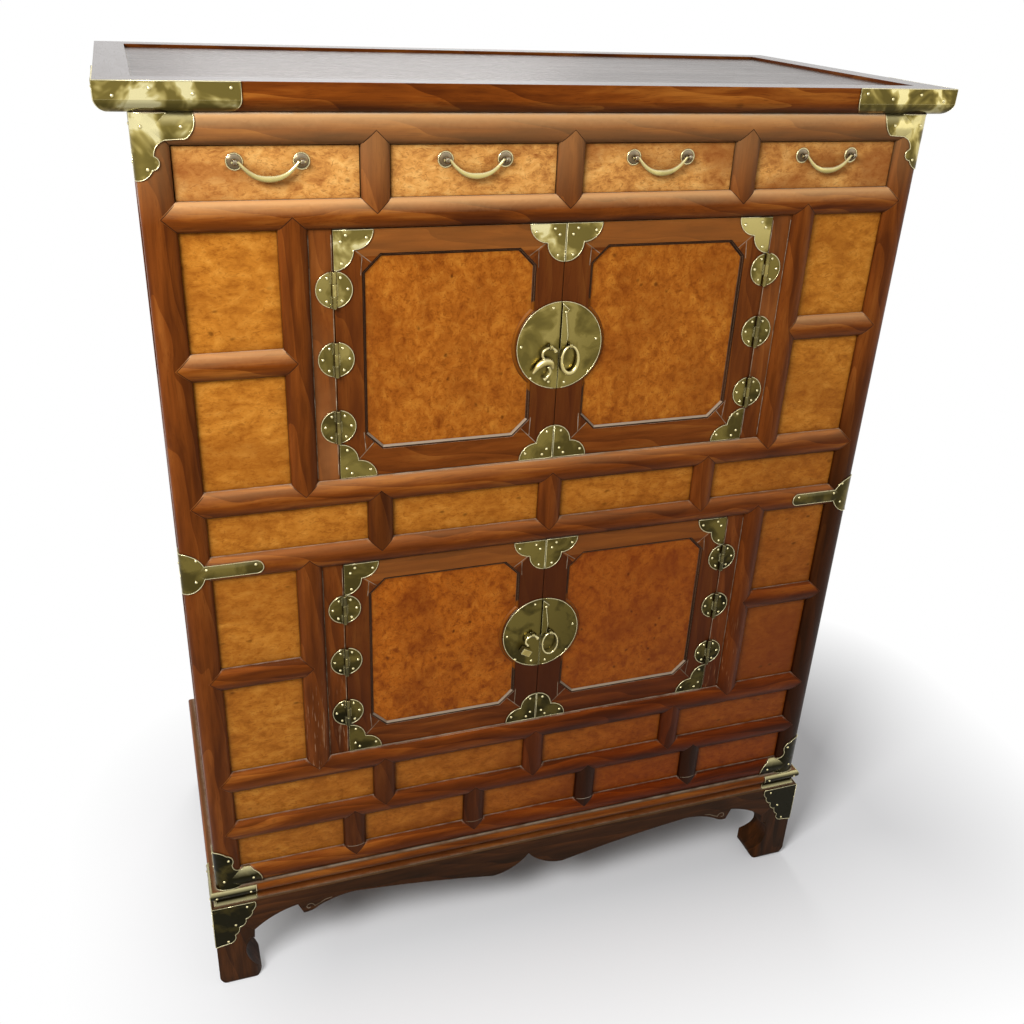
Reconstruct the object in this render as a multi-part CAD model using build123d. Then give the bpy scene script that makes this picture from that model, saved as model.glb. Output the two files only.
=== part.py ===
"""Korean two-tier chest with four small drawers, two pairs of doors and a scrolled base.

Millimetres. X runs left to right, the front faces -Y, Z is up from the floor.
The origin is the floor point under the middle of the top board.
"""
from build123d import *
from math import cos, radians, sin
import os

os.makedirs("parts", exist_ok=True)

# ---------------------------------------------------------------- driving sizes
BODY_WIDTH = 940.0
BODY_DEPTH = 455.0
TOP_SIDE_OVERHANG = 30.5
TOP_FRONT_OVERHANG = 12.0
TOP_BACK_OVERHANG = 3.0
TOP_THICKNESS = 30.0
TOP_FRAME_WIDTH = 36.0
TOP_PANEL_SINK = 4.0
TOP_PANEL_THICKNESS = 9.0
TOP_EDGE_LIP = 12.0
TOP_EDGE_UNDERCUT = 11.0

POST_WIDTH = 35.0
POST_DEPTH = 38.0
CREST = 8.0
RAIL_HEIGHT = 32.0
SILL_HEIGHT = 34.0
STILE_WIDTH = 32.0
RAIL_DEPTH = 26.0
MITRE_DEPTH = 6.0
TENON_LENGTH = 14.0
TENON_SHOULDER = 7.0
TENON_FRONT = 11.0
TENON_BACK = 20.0

DRAWER_ROW = 56.0
DOOR_ROW = 301.0
PANEL_ROW = 53.0
FOOT_ROW = 52.0
DOOR_OPENING = 549.0
HINGE_STILE = 27.0
SHORT_RAIL_RISE = 137.0

PANEL_SET = 1.5
PANEL_BACK = 10.0
TONGUE = 5.0
TONGUE_FRONT = 7.0

SIDE_RAIL_THICKNESS = 25.0
BACK_RAIL_THICKNESS = 25.0
WALL_PANEL_SET = 4.0
WALL_PANEL_THICKNESS = 9.0
BACK_STILE_WIDTH = 34.0
FLOOR_THICKNESS = 12.0

DOOR_THICKNESS = 20.0
DOOR_GAP = 1.0
DOOR_SEAM = 1.0
DOOR_TOP_RAIL = 27.0
DOOR_BOTTOM_RAIL = 34.0
DOOR_OUTER_STILE = 31.5
DOOR_INNER_STILE = 34.0
PANEL_CORNER = 21.0
DOOR_PANEL_SET = 3.5
DOOR_PANEL_THICKNESS = 6.0
DOOR_PANEL_FLANGE = 3.0
DOOR_REBATE = 5.0
MEETING_BEVEL = 1.2
BEAD_WIDTH = 4.0
BEAD_PROUD = 2.6
BEAD_SLOPE = 40.0
DOOR_STOP = 9.0
STOP_GAP = 0.3

LOCK_RADIUS = 55.5
LOCK_RISE = 151.5
LOCK_LAND = 1.0
STRAP_WIDTH = 9.0
STRAP_PROUD = 2.6
STRAP_DROP = 4.0
STRAP_MARGIN = 2.0
BRASS = 1.2
CORNER_LOBE = 22.5
HINGE_RADIUS = 21.0
BARREL_RADIUS = 2.75
PIN_RADIUS = 1.4
PIN_CLEARANCE = 0.1
KNUCKLE_GAP = 0.3
HINGE_MARGIN = 69.0

DRAWER_GAP = 1.0
DRAWER_FRONT = 16.0
DRAWER_LENGTH = 392.0
DRAWER_WALL = 9.0
DRAWER_BOTTOM = 5.0
DRAWER_HEADROOM = 6.0
RUN_GAP = 0.3
GUIDE_HEIGHT = 18.0

ROSETTE_RADIUS = 9.0
ROSETTE_DOME = 2.4
BAIL_SPAN = 69.0
BAIL_DROP = 17.0
BAIL_BELLY = 7.4
BAIL_DEPTH = 5.0
BAIL_THIN = 2.8
EAR_RADIUS = 3.4
EAR_WIDTH = 3.6
EAR_REACH = 7.0
EAR_CLEARANCE = 0.2
BAIL_RISE = 39.5
NECK_GAP = 1.9

RINGS = {"lower": (22.0, 32.0, 2.2), "upper": (25.0, 38.0, 3.2)}
RING_REACH = 5.5
RING_CLEARANCE = 0.7
RING_OFFSET = 13.0
DROP_LINK_HEIGHT = 13.0
DROP_LINK_WIDTH = 11.0
DROP_LINK_WIRE = 2.0
DROPS = {"lower": (16.0, 4.4, 1.0), "upper": (26.0, 4.6, 1.8)}

BASE_OVERHANG = 10.0
BASE_FRONT_OVERHANG = 12.0
BASE_BACK_OVERHANG = 3.0
MOULDING_HEIGHT = 28.0
MOULDING_WIDTH = 46.0
NOSE_SHARE = 0.48
NOSE_ROUND = 3.0
HOLLOW_DEPTH = 7.5
MOULDING_FOOT = 5.0
BASE_HEIGHT = 186.0
APRON_THICKNESS = 24.0
APRON_DROP = 58.0
ARCH_WIDTH = 64.0
ARCH_DROP = 26.5
PENDANT_WIDTH = 30.0
PENDANT_DROP = 45.5
SHOULDER_WIDTH = 57.0
SHOULDER_DROP = 24.5
OGEE_WIDTH = 58.0
OGEE_DROP = 57.5
OGEE_PEAK_DROP = 25.5
BACK_APRON_DROP = 38.0
LEG_WIDTH = 56.0
TOE_WIDTH = 61.0
TOE_HEIGHT = 14.0
TOE_ROUND = 7.0
TOE_SPREAD = 3.0
TOE_CORNER = 26.0
SIDE_HEEL = 13.0
FRONT_HEEL = 4.0
HEEL_STEEP = 1.8
ANKLE_WIDTH = 41.0
ANKLE_HEIGHT = 60.0
FOOT_BELOW_CUSP = 15.0

TOP_CAP_REACH = 140.0
TOP_CAP_CORNER = 14.0
HEAD_PLATE_REACH = 60.0
HEAD_PLATE_DROP = 66.0
HEAD_PLATE_SIDE = 20.0
WAIST_DISC = 28.0
WAIST_STRIP_HALF = 9.0
WAIST_STRIP_TIP = 97.0
FOOT_PLATE_REACH = 62.0
FOOT_PLATE_RISE = 70.0
FOOT_PLATE_SIDE = 22.0
MOULDING_CAP_REACH = 65.0
MOULDING_CAP_DEPTH = 9.0
LEG_PLATE_REACH = 60.0
LEG_PLATE_DROP = 76.0
LEG_PLATE_EDGE = 1.0

# ------------------------------------------------------------- derived positions
FACE = -BODY_DEPTH / 2 + (TOP_FRONT_OVERHANG - TOP_BACK_OVERHANG) / 2
BACK = FACE + BODY_DEPTH
HALF_BODY = BODY_WIDTH / 2
POST_X = HALF_BODY - POST_WIDTH / 2
POST_IN = HALF_BODY - POST_WIDTH
RAIL_IN = FACE + RAIL_DEPTH
MITRE_IN = FACE + MITRE_DEPTH
WALL_IN = HALF_BODY - SIDE_RAIL_THICKNESS
BACK_IN = BACK - BACK_RAIL_THICKNESS

FOOT_RAIL = (BASE_HEIGHT, BASE_HEIGHT + RAIL_HEIGHT)
BASE_RAIL = (FOOT_RAIL[1] + FOOT_ROW, FOOT_RAIL[1] + FOOT_ROW + RAIL_HEIGHT)
LOWER_SILL = (BASE_RAIL[1] + PANEL_ROW, BASE_RAIL[1] + PANEL_ROW + SILL_HEIGHT)
WAIST_RAIL = (LOWER_SILL[1] + DOOR_ROW, LOWER_SILL[1] + DOOR_ROW + RAIL_HEIGHT)
UPPER_SILL = (WAIST_RAIL[1] + PANEL_ROW, WAIST_RAIL[1] + PANEL_ROW + SILL_HEIGHT)
DRAWER_RAIL = (UPPER_SILL[1] + DOOR_ROW, UPPER_SILL[1] + DOOR_ROW + RAIL_HEIGHT)
TOP_RAIL = (DRAWER_RAIL[1] + DRAWER_ROW, DRAWER_RAIL[1] + DRAWER_ROW + RAIL_HEIGHT)
BODY_TOP = TOP_RAIL[1]
TOP_Z = BODY_TOP + TOP_THICKNESS
TIERS = {"lower": (LOWER_SILL[1], WAIST_RAIL[0]), "upper": (UPPER_SILL[1], DRAWER_RAIL[0])}

HINGE_X = DOOR_OPENING / 2
INNER_STILE_X = HINGE_X + HINGE_STILE + STILE_WIDTH / 2
PLINTH_HALF = HALF_BODY + BASE_OVERHANG
PLINTH_FRONT = FACE - BASE_FRONT_OVERHANG
PLINTH_BACK = BACK + BASE_BACK_OVERHANG
APRON_TOP = BASE_HEIGHT - MOULDING_HEIGHT
LEG_CUSP = APRON_TOP - APRON_DROP
HINGE_Y = FACE - BARREL_RADIUS - 0.25


def middle(span):
    """Middle of a (low, high) pair."""
    return (span[0] + span[1]) / 2


def block(x, y, z):
    """Box between three (low, high) pairs."""
    size = Box(x[1] - x[0], y[1] - y[0], z[1] - z[0])
    return Pos(middle(x), middle(y), middle(z)) * size


def plate(outline, y_front, y_back):
    """Extrude an outline drawn in (x, z) between two depths."""
    return extrude(Plane.XZ.offset(-y_back) * outline, y_back - y_front)


def side_plate(outline, x_low, x_high):
    """Extrude an outline drawn in (y, z) between two x values."""
    return extrude(Plane.YZ.offset(x_low) * outline, x_high - x_low)


def flipped(shape):
    """Mirror image across the middle of the chest, left for right."""
    return mirror(shape, about=Plane.YZ)


def write(name, *solids):
    """Export one node, made of one or more separate solids."""
    bodies = [body for solid in solids for body in solid.solids()]
    shape = bodies[0] if len(bodies) == 1 else Compound(children=bodies)
    export_step(shape, f"parts/{name}.step")


# ------------------------------------------------- half-round bars with swallow-tail ends
def bar_section(width, grow=0.0):
    """Half-elliptical front standing proud of the face, on a flat back part.

    Growing keeps every width in proportion, so that mitres between bars still meet.
    """
    crest = CREST + grow
    spread = width * (1 + 2 * grow / POST_WIDTH)
    dome = Ellipse(spread / 2, crest) & Pos(0, crest) * Rectangle(2 * width, 2 * crest)
    return dome + Pos(0, -MITRE_DEPTH / 2) * Rectangle(spread, MITRE_DEPTH)


def bar_front(along, centre, low, high, width, grow=0.0):
    """Front part of a bar that runs along x or z from low to high."""
    if along == "x":
        plane = Plane((low, FACE, centre), x_dir=(0, 0, 1), z_dir=(1, 0, 0))
    else:
        plane = Plane((centre, FACE, low), x_dir=(-1, 0, 0), z_dir=(0, 0, 1))
    return extrude(plane * bar_section(width, grow), high - low)


def bar_outline(along, centre, low, high, width, low_half, high_half):
    """Pointed outline of a bar: its tips reach the crests of the bars that it meets."""
    half = width / 2
    points = [
        (low, centre),
        (low + low_half, centre + half),
        (high - high_half, centre + half),
        (high, centre),
        (high - high_half, centre - half),
        (low + low_half, centre - half),
    ]
    if along == "z":
        points = [(across, length) for length, across in points]
    return make_face(Polyline(*points, close=True))


def bar_tips(*bar):
    """Prism of the pointed outline through the mitred depth."""
    return plate(bar_outline(*bar), FACE - 2 * CREST, MITRE_IN)


def bar_rear(along, centre, low, high, width, low_half, high_half):
    """Square rear part between the shoulders, with a tenon at each end."""
    start, stop, half = low + low_half, high - high_half, width / 2
    body = [(start, stop), (MITRE_IN, RAIL_IN), (centre - half, centre + half)]
    tenon = [
        (start - TENON_LENGTH, stop + TENON_LENGTH),
        (FACE + TENON_FRONT, FACE + TENON_BACK),
        (centre - half + TENON_SHOULDER, centre + half - TENON_SHOULDER),
    ]
    if along == "z":
        body = [body[2], body[1], body[0]]
        tenon = [tenon[2], tenon[1], tenon[0]]
    return block(*body), block(*tenon)


def bar_solid(*bar):
    """One whole bar: pointed half-round front, square rear part and tenons."""
    along, centre, low, high, width, _, _ = bar
    body, tenon = bar_rear(*bar)
    return (bar_front(along, centre, low, high, width) & bar_tips(*bar)) + body + tenon


def bar_pocket(*bar):
    """What the bars at its two ends give up to take this bar's tips and tenons."""
    return bar_tips(*bar) + bar_rear(*bar)[1]


def long_rail(span):
    """Description of a rail that runs from post to post."""
    half = POST_WIDTH / 2
    return ("x", middle(span), -POST_X, POST_X, span[1] - span[0], half, half)


def upright(x, below, above):
    """Description of an upright between two long rails."""
    halves = (below[1] - below[0]) / 2, (above[1] - above[0]) / 2
    return ("z", x, middle(below), middle(above), STILE_WIDTH) + halves


def short_rail(sign, tier):
    """Description of the short rail between a post and an inner stile."""
    centre = TIERS[tier][0] + SHORT_RAIL_RISE + RAIL_HEIGHT / 2
    low, high = sorted((sign * INNER_STILE_X, sign * POST_X))
    halves = (STILE_WIDTH / 2, POST_WIDTH / 2)
    if sign < 0:
        halves = halves[::-1]
    return ("x", centre, low, high, RAIL_HEIGHT) + halves


def cut_all(solid, cutters):
    """Subtract each cutter that touches the solid's box."""
    limits = solid.bounding_box()
    for cutter in cutters:
        if limits.overlaps(cutter.bounding_box()):
            solid = solid - cutter
    return solid


def columns(count):
    """Equal openings between the posts, as (low, high) pairs, with the dividers between them."""
    opening = (2 * POST_IN - (count - 1) * STILE_WIDTH) / count
    starts = [-POST_IN + i * (opening + STILE_WIDTH) for i in range(count)]
    return [(start, start + opening) for start in starts]


def divider_centres(count):
    """Centres of the dividers between equal openings."""
    return [opening[1] + STILE_WIDTH / 2 for opening in columns(count)[:-1]]


def field_panel(x, z):
    """Thin panel that fills an opening of the front and is held by a tongue all round."""
    field = block(x, (FACE + PANEL_SET, FACE + PANEL_BACK), z)
    tongue_x = (x[0] - TONGUE, x[1] + TONGUE)
    tongue_z = (z[0] - TONGUE, z[1] + TONGUE)
    return field + block(tongue_x, (FACE + TONGUE_FRONT, FACE + PANEL_BACK), tongue_z)


# ------------------------------------------------------------------ front framework
FOUR, FIVE = 4, 5
rails = {
    "rails_drawer_row": [long_rail(TOP_RAIL), long_rail(DRAWER_RAIL)],
    "rail_upper_sill": [long_rail(UPPER_SILL)],
    "rail_waist": [long_rail(WAIST_RAIL)],
    "rail_lower_sill": [long_rail(LOWER_SILL)],
    "rails_base": [long_rail(BASE_RAIL), long_rail(FOOT_RAIL)],
}
dividers = [upright(x, DRAWER_RAIL, TOP_RAIL) for x in divider_centres(FOUR)]
dividers += [upright(x, WAIST_RAIL, UPPER_SILL) for x in divider_centres(FOUR)]
dividers += [upright(x, BASE_RAIL, LOWER_SILL) for x in divider_centres(FOUR)]
dividers += [upright(x, FOOT_RAIL, BASE_RAIL) for x in divider_centres(FIVE)]
inner_stiles = [
    upright(sign * INNER_STILE_X, below, above)
    for below, above in ((LOWER_SILL, WAIST_RAIL), (UPPER_SILL, DRAWER_RAIL))
    for sign in (-1, 1)
]
short_rails = [short_rail(sign, tier) for tier in TIERS for sign in (-1, 1)]

BAY_X = (INNER_STILE_X + STILE_WIDTH / 2, POST_IN)
bay_panels = []
for tier, (tier_low, tier_high) in TIERS.items():
    rail_low = tier_low + SHORT_RAIL_RISE
    for bay_z in ((tier_low, rail_low), (rail_low + RAIL_HEIGHT, tier_high)):
        right = field_panel(BAY_X, bay_z)
        bay_panels += [right, flipped(right)]
row_panels = [field_panel(x, (WAIST_RAIL[1], UPPER_SILL[0])) for x in columns(FOUR)]
row_panels += [field_panel(x, (BASE_RAIL[1], LOWER_SILL[0])) for x in columns(FOUR)]
row_panels += [field_panel(x, (FOOT_RAIL[1], BASE_RAIL[0])) for x in columns(FIVE)]
panels = bay_panels + row_panels

upright_pockets = [bar_pocket(*bar) for bar in dividers + inner_stiles]
rail_pockets = [bar_pocket(*bar) for group in rails.values() for bar in group]
short_pockets = [bar_pocket(*bar) for bar in short_rails]

for name, group in rails.items():
    write(name, *[cut_all(bar_solid(*bar), upright_pockets + panels) for bar in group])
write("row_dividers", *[cut_all(bar_solid(*bar), panels) for bar in dividers])
write("short_rails", *[cut_all(bar_solid(*bar), panels) for bar in short_rails])
write("bay_panels", *bay_panels)
write("row_panels", *row_panels)


def hinge_stile(tier):
    """Flat strip beside the inner stile that carries the hinges of one door."""
    strip_x = (HINGE_X + DOOR_GAP / 2, HINGE_X + HINGE_STILE)
    return block(strip_x, (FACE, FACE + DOOR_THICKNESS), TIERS[tier])


stile_parts = [cut_all(bar_solid(*bar), short_pockets + panels) for bar in inner_stiles]
hinge_stiles = [hinge_stile(tier) for tier in TIERS]
write("inner_stiles", *stile_parts, *hinge_stiles, *[flipped(strip) for strip in hinge_stiles])

# -------------------------------------------------------------- sides, back and floors
SIDE_LEVELS = [FOOT_RAIL, LOWER_SILL, WAIST_RAIL, UPPER_SILL, DRAWER_RAIL, TOP_RAIL]
BACK_LEVELS = [FOOT_RAIL, UPPER_SILL, TOP_RAIL]
SIDE_Y = (FACE + POST_DEPTH, BACK - POST_DEPTH)


def side_rail(level):
    """Flat rail of the right side, tenoned into the front and rear posts."""
    rail_x = (WALL_IN, HALF_BODY)
    body = block(rail_x, SIDE_Y, level)
    tenon_x = (WALL_IN + TENON_SHOULDER, HALF_BODY - TENON_SHOULDER)
    tenon_y = (SIDE_Y[0] - TENON_LENGTH, SIDE_Y[1] + TENON_LENGTH)
    tenon_z = (level[0] + TENON_SHOULDER, level[1] - TENON_SHOULDER)
    return body + block(tenon_x, tenon_y, tenon_z)


def side_panel(below, above):
    """Board of the right side, tongued into the rails and posts round it."""
    panel_x = (HALF_BODY - WALL_PANEL_SET - WALL_PANEL_THICKNESS, HALF_BODY - WALL_PANEL_SET)
    panel_y = (SIDE_Y[0] - TONGUE, SIDE_Y[1] + TONGUE)
    return block(panel_x, panel_y, (below[1] - TONGUE, above[0] + TONGUE))


def back_rail(level):
    """Rail of the back, tenoned into the rear posts."""
    body = block((-POST_IN, POST_IN), (BACK_IN, BACK), level)
    tenon_x = (-POST_IN - TENON_LENGTH, POST_IN + TENON_LENGTH)
    tenon_y = (BACK_IN + TENON_SHOULDER, BACK - TENON_SHOULDER)
    tenon_z = (level[0] + TENON_SHOULDER, level[1] - TENON_SHOULDER)
    return body + block(tenon_x, tenon_y, tenon_z)


def back_muntin(below, above):
    """Middle upright of the back between two rails."""
    half = BACK_STILE_WIDTH / 2
    return block((-half, half), (BACK_IN, BACK), (below[1], above[0]))


def back_panel(below, above):
    """Right-hand back board between two rails."""
    panel_x = (BACK_STILE_WIDTH / 2 - TONGUE, POST_IN + TONGUE)
    panel_y = (BACK - WALL_PANEL_SET - WALL_PANEL_THICKNESS, BACK - WALL_PANEL_SET)
    return block(panel_x, panel_y, (below[1] - TONGUE, above[0] + TONGUE))


right_rails = [side_rail(level) for level in SIDE_LEVELS]
right_panels = [side_panel(*pair) for pair in zip(SIDE_LEVELS, SIDE_LEVELS[1:])]
back_rails = [back_rail(level) for level in BACK_LEVELS]
back_muntins = [back_muntin(*pair) for pair in zip(BACK_LEVELS, BACK_LEVELS[1:])]
back_right = [back_panel(*pair) for pair in zip(BACK_LEVELS, BACK_LEVELS[1:])]
back_panels = back_right + [flipped(panel) for panel in back_right]

cut_rails = [cut_all(rail, right_panels) for rail in right_rails]
write("side_rails", *cut_rails, *[flipped(rail) for rail in cut_rails])
write("side_panels", *right_panels, *[flipped(panel) for panel in right_panels])
write("back_frame", *[cut_all(rail, back_panels) for rail in back_rails + back_muntins])
write("back_panels", *back_panels)


def front_post():
    """Right front post with the pockets of every bar, rail and panel that enters it."""
    outline = bar_front("z", POST_X, BASE_HEIGHT, BODY_TOP, POST_WIDTH)
    post = outline + block((POST_IN, HALF_BODY), (MITRE_IN, FACE + POST_DEPTH), (BASE_HEIGHT, BODY_TOP))
    return cut_all(post, rail_pockets + short_pockets + panels + right_rails + right_panels)


def rear_post():
    """Right rear post, square, with the pockets of the side and back."""
    post = block((POST_IN, HALF_BODY), (BACK - POST_DEPTH, BACK), (BASE_HEIGHT, BODY_TOP))
    return cut_all(post, right_rails + right_panels + back_rails + back_panels)


post_right = front_post()
write("post_front_right", post_right)
write("post_front_left", flipped(post_right))
rear_right = rear_post()
write("posts_rear", rear_right, flipped(rear_right))


def floor_board(top):
    """Board across the inside, notched round the four posts."""
    level = (top - FLOOR_THICKNESS, top)
    board = block((-WALL_IN, WALL_IN), (RAIL_IN, BACK_IN), level)
    for sign in (-1, 1):
        notch_x = tuple(sorted((sign * POST_IN, sign * WALL_IN)))
        board -= block(notch_x, (RAIL_IN, FACE + POST_DEPTH), level)
        board -= block(notch_x, (BACK - POST_DEPTH, BACK_IN), level)
    return board


floor_tops = [DRAWER_RAIL[1], UPPER_SILL[1], LOWER_SILL[1], FOOT_RAIL[0] + FLOOR_THICKNESS]
write("floors", *[floor_board(top) for top in floor_tops])


def drawer_guide(x):
    """Strip on the deck that keeps two drawers apart, or a drawer off the side."""
    return block(x, (RAIL_IN, BACK_IN), (DRAWER_RAIL[1], DRAWER_RAIL[1] + GUIDE_HEIGHT))


inner_guides = [
    drawer_guide((x - STILE_WIDTH / 2 + RUN_GAP, x + STILE_WIDTH / 2 - RUN_GAP))
    for x in divider_centres(FOUR)
]
outer_guide = block(
    (POST_IN + RUN_GAP, WALL_IN), SIDE_Y, (DRAWER_RAIL[1], DRAWER_RAIL[1] + GUIDE_HEIGHT)
)
write("drawer_guides", *inner_guides, outer_guide, flipped(outer_guide))


def door_stops(tier):
    """Strips behind the head and foot of a pair of doors."""
    low, high = TIERS[tier]
    stop_x = (-HINGE_X, HINGE_X)
    stop_y = (FACE + DOOR_THICKNESS + STOP_GAP, RAIL_IN)
    return block(stop_x, stop_y, (low, low + DOOR_STOP)), block(stop_x, stop_y, (high - DOOR_STOP, high))


write("door_stops", *door_stops("lower"), *door_stops("upper"))


# ---------------------------------------------------------------- top board and base
def mitred_ring(half_x, y_front, y_back, section, width):
    """Four members round a rectangle, mitred at the corners.

    The section is drawn in (inward distance from the outer edge, z).
    """
    depth = y_back - y_front
    sides = [
        ((-half_x, y_front, 0), (0, 1, 0), (1, 0, 0), 2 * half_x),
        ((half_x, y_back, 0), (0, -1, 0), (-1, 0, 0), 2 * half_x),
        ((half_x, y_front, 0), (-1, 0, 0), (0, 1, 0), depth),
        ((-half_x, y_back, 0), (1, 0, 0), (0, -1, 0), depth),
    ]
    members = []
    for origin, inward, along, length in sides:
        plane = Plane(origin, x_dir=inward, z_dir=along)
        trapezoid = Polyline(
            (0, 0), (length, 0), (length - width, width), (width, width), close=True
        )
        lying = Plane(origin, x_dir=along, z_dir=Vector(*along).cross(Vector(*inward)))
        height = TOP_Z if lying.z_dir.Z > 0 else -TOP_Z
        prism = extrude(lying * make_face(trapezoid), height)
        members.append(extrude(plane * section, length) & prism)
    return members


def top_section():
    """Edge of the top board: an upright lip above a curve that runs in under it."""
    lip = TOP_Z - TOP_EDGE_LIP
    knee = (TOP_EDGE_UNDERCUT * 0.3, (lip + BODY_TOP) / 2 - TOP_EDGE_UNDERCUT * 0.35)
    edge = Line((0, TOP_Z), (0, lip)) + ThreePointArc((0, lip), knee, (TOP_EDGE_UNDERCUT, BODY_TOP))
    rest = Polyline(
        (TOP_EDGE_UNDERCUT, BODY_TOP), (TOP_FRAME_WIDTH, BODY_TOP), (TOP_FRAME_WIDTH, TOP_Z), (0, TOP_Z)
    )
    return make_face(edge + rest)


TOP_HALF = HALF_BODY + TOP_SIDE_OVERHANG
TOP_FRONT = FACE - TOP_FRONT_OVERHANG
TOP_BACK = BACK + TOP_BACK_OVERHANG
TOP_FIELD_X = TOP_HALF - TOP_FRAME_WIDTH
TOP_FIELD_Y = (TOP_FRONT + TOP_FRAME_WIDTH, TOP_BACK - TOP_FRAME_WIDTH)
TOP_FIELD_Z = (TOP_Z - TOP_PANEL_SINK - TOP_PANEL_THICKNESS, TOP_Z - TOP_PANEL_SINK)


def top_panel():
    """Sunk field of the top board, tongued into its frame."""
    panel = block((-TOP_FIELD_X, TOP_FIELD_X), TOP_FIELD_Y, TOP_FIELD_Z)
    tongue_x = (-TOP_FIELD_X - TONGUE, TOP_FIELD_X + TONGUE)
    tongue_y = (TOP_FIELD_Y[0] - TONGUE, TOP_FIELD_Y[1] + TONGUE)
    return panel + block(tongue_x, tongue_y, (TOP_FIELD_Z[0], TOP_FIELD_Z[1] - TONGUE / 2))


def top_batten(x):
    """Batten under the sunk field, front to back."""
    half = RAIL_HEIGHT / 2
    return block((x - half, x + half), TOP_FIELD_Y, (BODY_TOP, TOP_FIELD_Z[0]))


field = top_panel()
top_members = mitred_ring(TOP_HALF, TOP_FRONT, TOP_BACK, top_section(), TOP_FRAME_WIDTH)
battens = [top_batten(x) for x in divider_centres(FOUR)]
write("top_frame", *[member - field for member in top_members], *battens)
write("top_panel", field)


def moulding_section():
    """Base moulding: a round nose above a hollow."""
    nose_low = BASE_HEIGHT - MOULDING_HEIGHT * NOSE_SHARE
    nose = ThreePointArc(
        (NOSE_ROUND, BASE_HEIGHT), (0, (BASE_HEIGHT + nose_low) / 2), (NOSE_ROUND, nose_low)
    )
    hollow = ThreePointArc(
        (NOSE_ROUND, nose_low), (HOLLOW_DEPTH, (nose_low + APRON_TOP) / 2), (MOULDING_FOOT, APRON_TOP)
    )
    rest = Polyline(
        (MOULDING_FOOT, APRON_TOP),
        (MOULDING_WIDTH, APRON_TOP),
        (MOULDING_WIDTH, BASE_HEIGHT),
        (NOSE_ROUND, BASE_HEIGHT),
    )
    return make_face(nose + hollow + rest)


PLINTH = (PLINTH_HALF, PLINTH_FRONT, PLINTH_BACK)
write("base_moulding", *mitred_ring(*PLINTH, moulding_section(), MOULDING_WIDTH))

UNDER_FLOOR = -1.0


def apron_scroll(cusp):
    """Half of the cut-out beside a leg: a rising arch that ends in a hooked pendant."""
    arch_x = cusp - ARCH_WIDTH
    arch_z, hook_z = APRON_TOP - ARCH_DROP, APRON_TOP - PENDANT_DROP
    lip_x, lip_z = arch_x - PENDANT_WIDTH, hook_z + 7
    end_x, end_z = lip_x - SHOULDER_WIDTH, APRON_TOP - SHOULDER_DROP
    hook_x = arch_x - 0.27 * PENDANT_WIDTH
    arch = ThreePointArc((cusp, LEG_CUSP), (cusp - 0.47 * ARCH_WIDTH, arch_z - 11), (arch_x, arch_z))
    hook = Line((arch_x, arch_z), (hook_x, hook_z))
    pendant = ThreePointArc((hook_x, hook_z), ((hook_x + lip_x) / 2, hook_z + 1), (lip_x, lip_z))
    bulge = (lip_x - 0.44 * SHOULDER_WIDTH, end_z - 4)
    return arch + hook + pendant + ThreePointArc((lip_x, lip_z), bulge, (end_x, end_z))


def scroll_end(cusp):
    """Point where the scroll beside a leg runs out into the straight of the apron."""
    return cusp - ARCH_WIDTH - PENDANT_WIDTH - SHOULDER_WIDTH, APRON_TOP - SHOULDER_DROP


def cutout(cusp, middle_z, middle_edge, scroll):
    """Right half of the opening under an apron: from the middle line out to the leg."""
    sides = Polyline((cusp, LEG_CUSP), (cusp, UNDER_FLOOR), (0, UNDER_FLOOR), (0, middle_z))
    return make_face(middle_edge + scroll + sides)


def front_cutout():
    """Right half of the opening under the front apron, with an ogee at the middle."""
    cusp = PLINTH_HALF - LEG_WIDTH
    peak_z, low_z = APRON_TOP - OGEE_PEAK_DROP, APRON_TOP - OGEE_DROP
    end = scroll_end(cusp)
    peak = ThreePointArc((0, peak_z), (0.41 * OGEE_WIDTH, low_z + 10.5), (OGEE_WIDTH, low_z))
    sweep_mid = (OGEE_WIDTH + 0.5 * (end[0] - OGEE_WIDTH), (low_z + end[1]) / 2 + 3)
    sweep_up = ThreePointArc((OGEE_WIDTH, low_z), sweep_mid, end)
    return cutout(cusp, peak_z, peak + sweep_up, apron_scroll(cusp))


def side_cutout(half):
    """Half of the opening under a side apron."""
    cusp = half - LEG_WIDTH
    end = scroll_end(cusp)
    return cutout(cusp, end[1], Line((0, end[1]), end), apron_scroll(cusp))


def back_cutout():
    """Half of the plain opening under the rear apron."""
    cusp = PLINTH_HALF - LEG_WIDTH
    level = APRON_TOP - BACK_APRON_DROP
    corner = (cusp - (level - LEG_CUSP), level)
    return cutout(cusp, level, Line((0, level), corner), Line(corner, (cusp, LEG_CUSP)))


def end_cut(half):
    """Corner that the apron gives up to the leg, along a slanting mitre."""
    cusp = half - LEG_WIDTH
    tip = APRON_TOP - 2
    return make_face(
        Polyline(
            (cusp, LEG_CUSP), (half + 1, tip), (half + 1, UNDER_FLOOR), (cusp, UNDER_FLOOR), close=True
        )
    )


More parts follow.
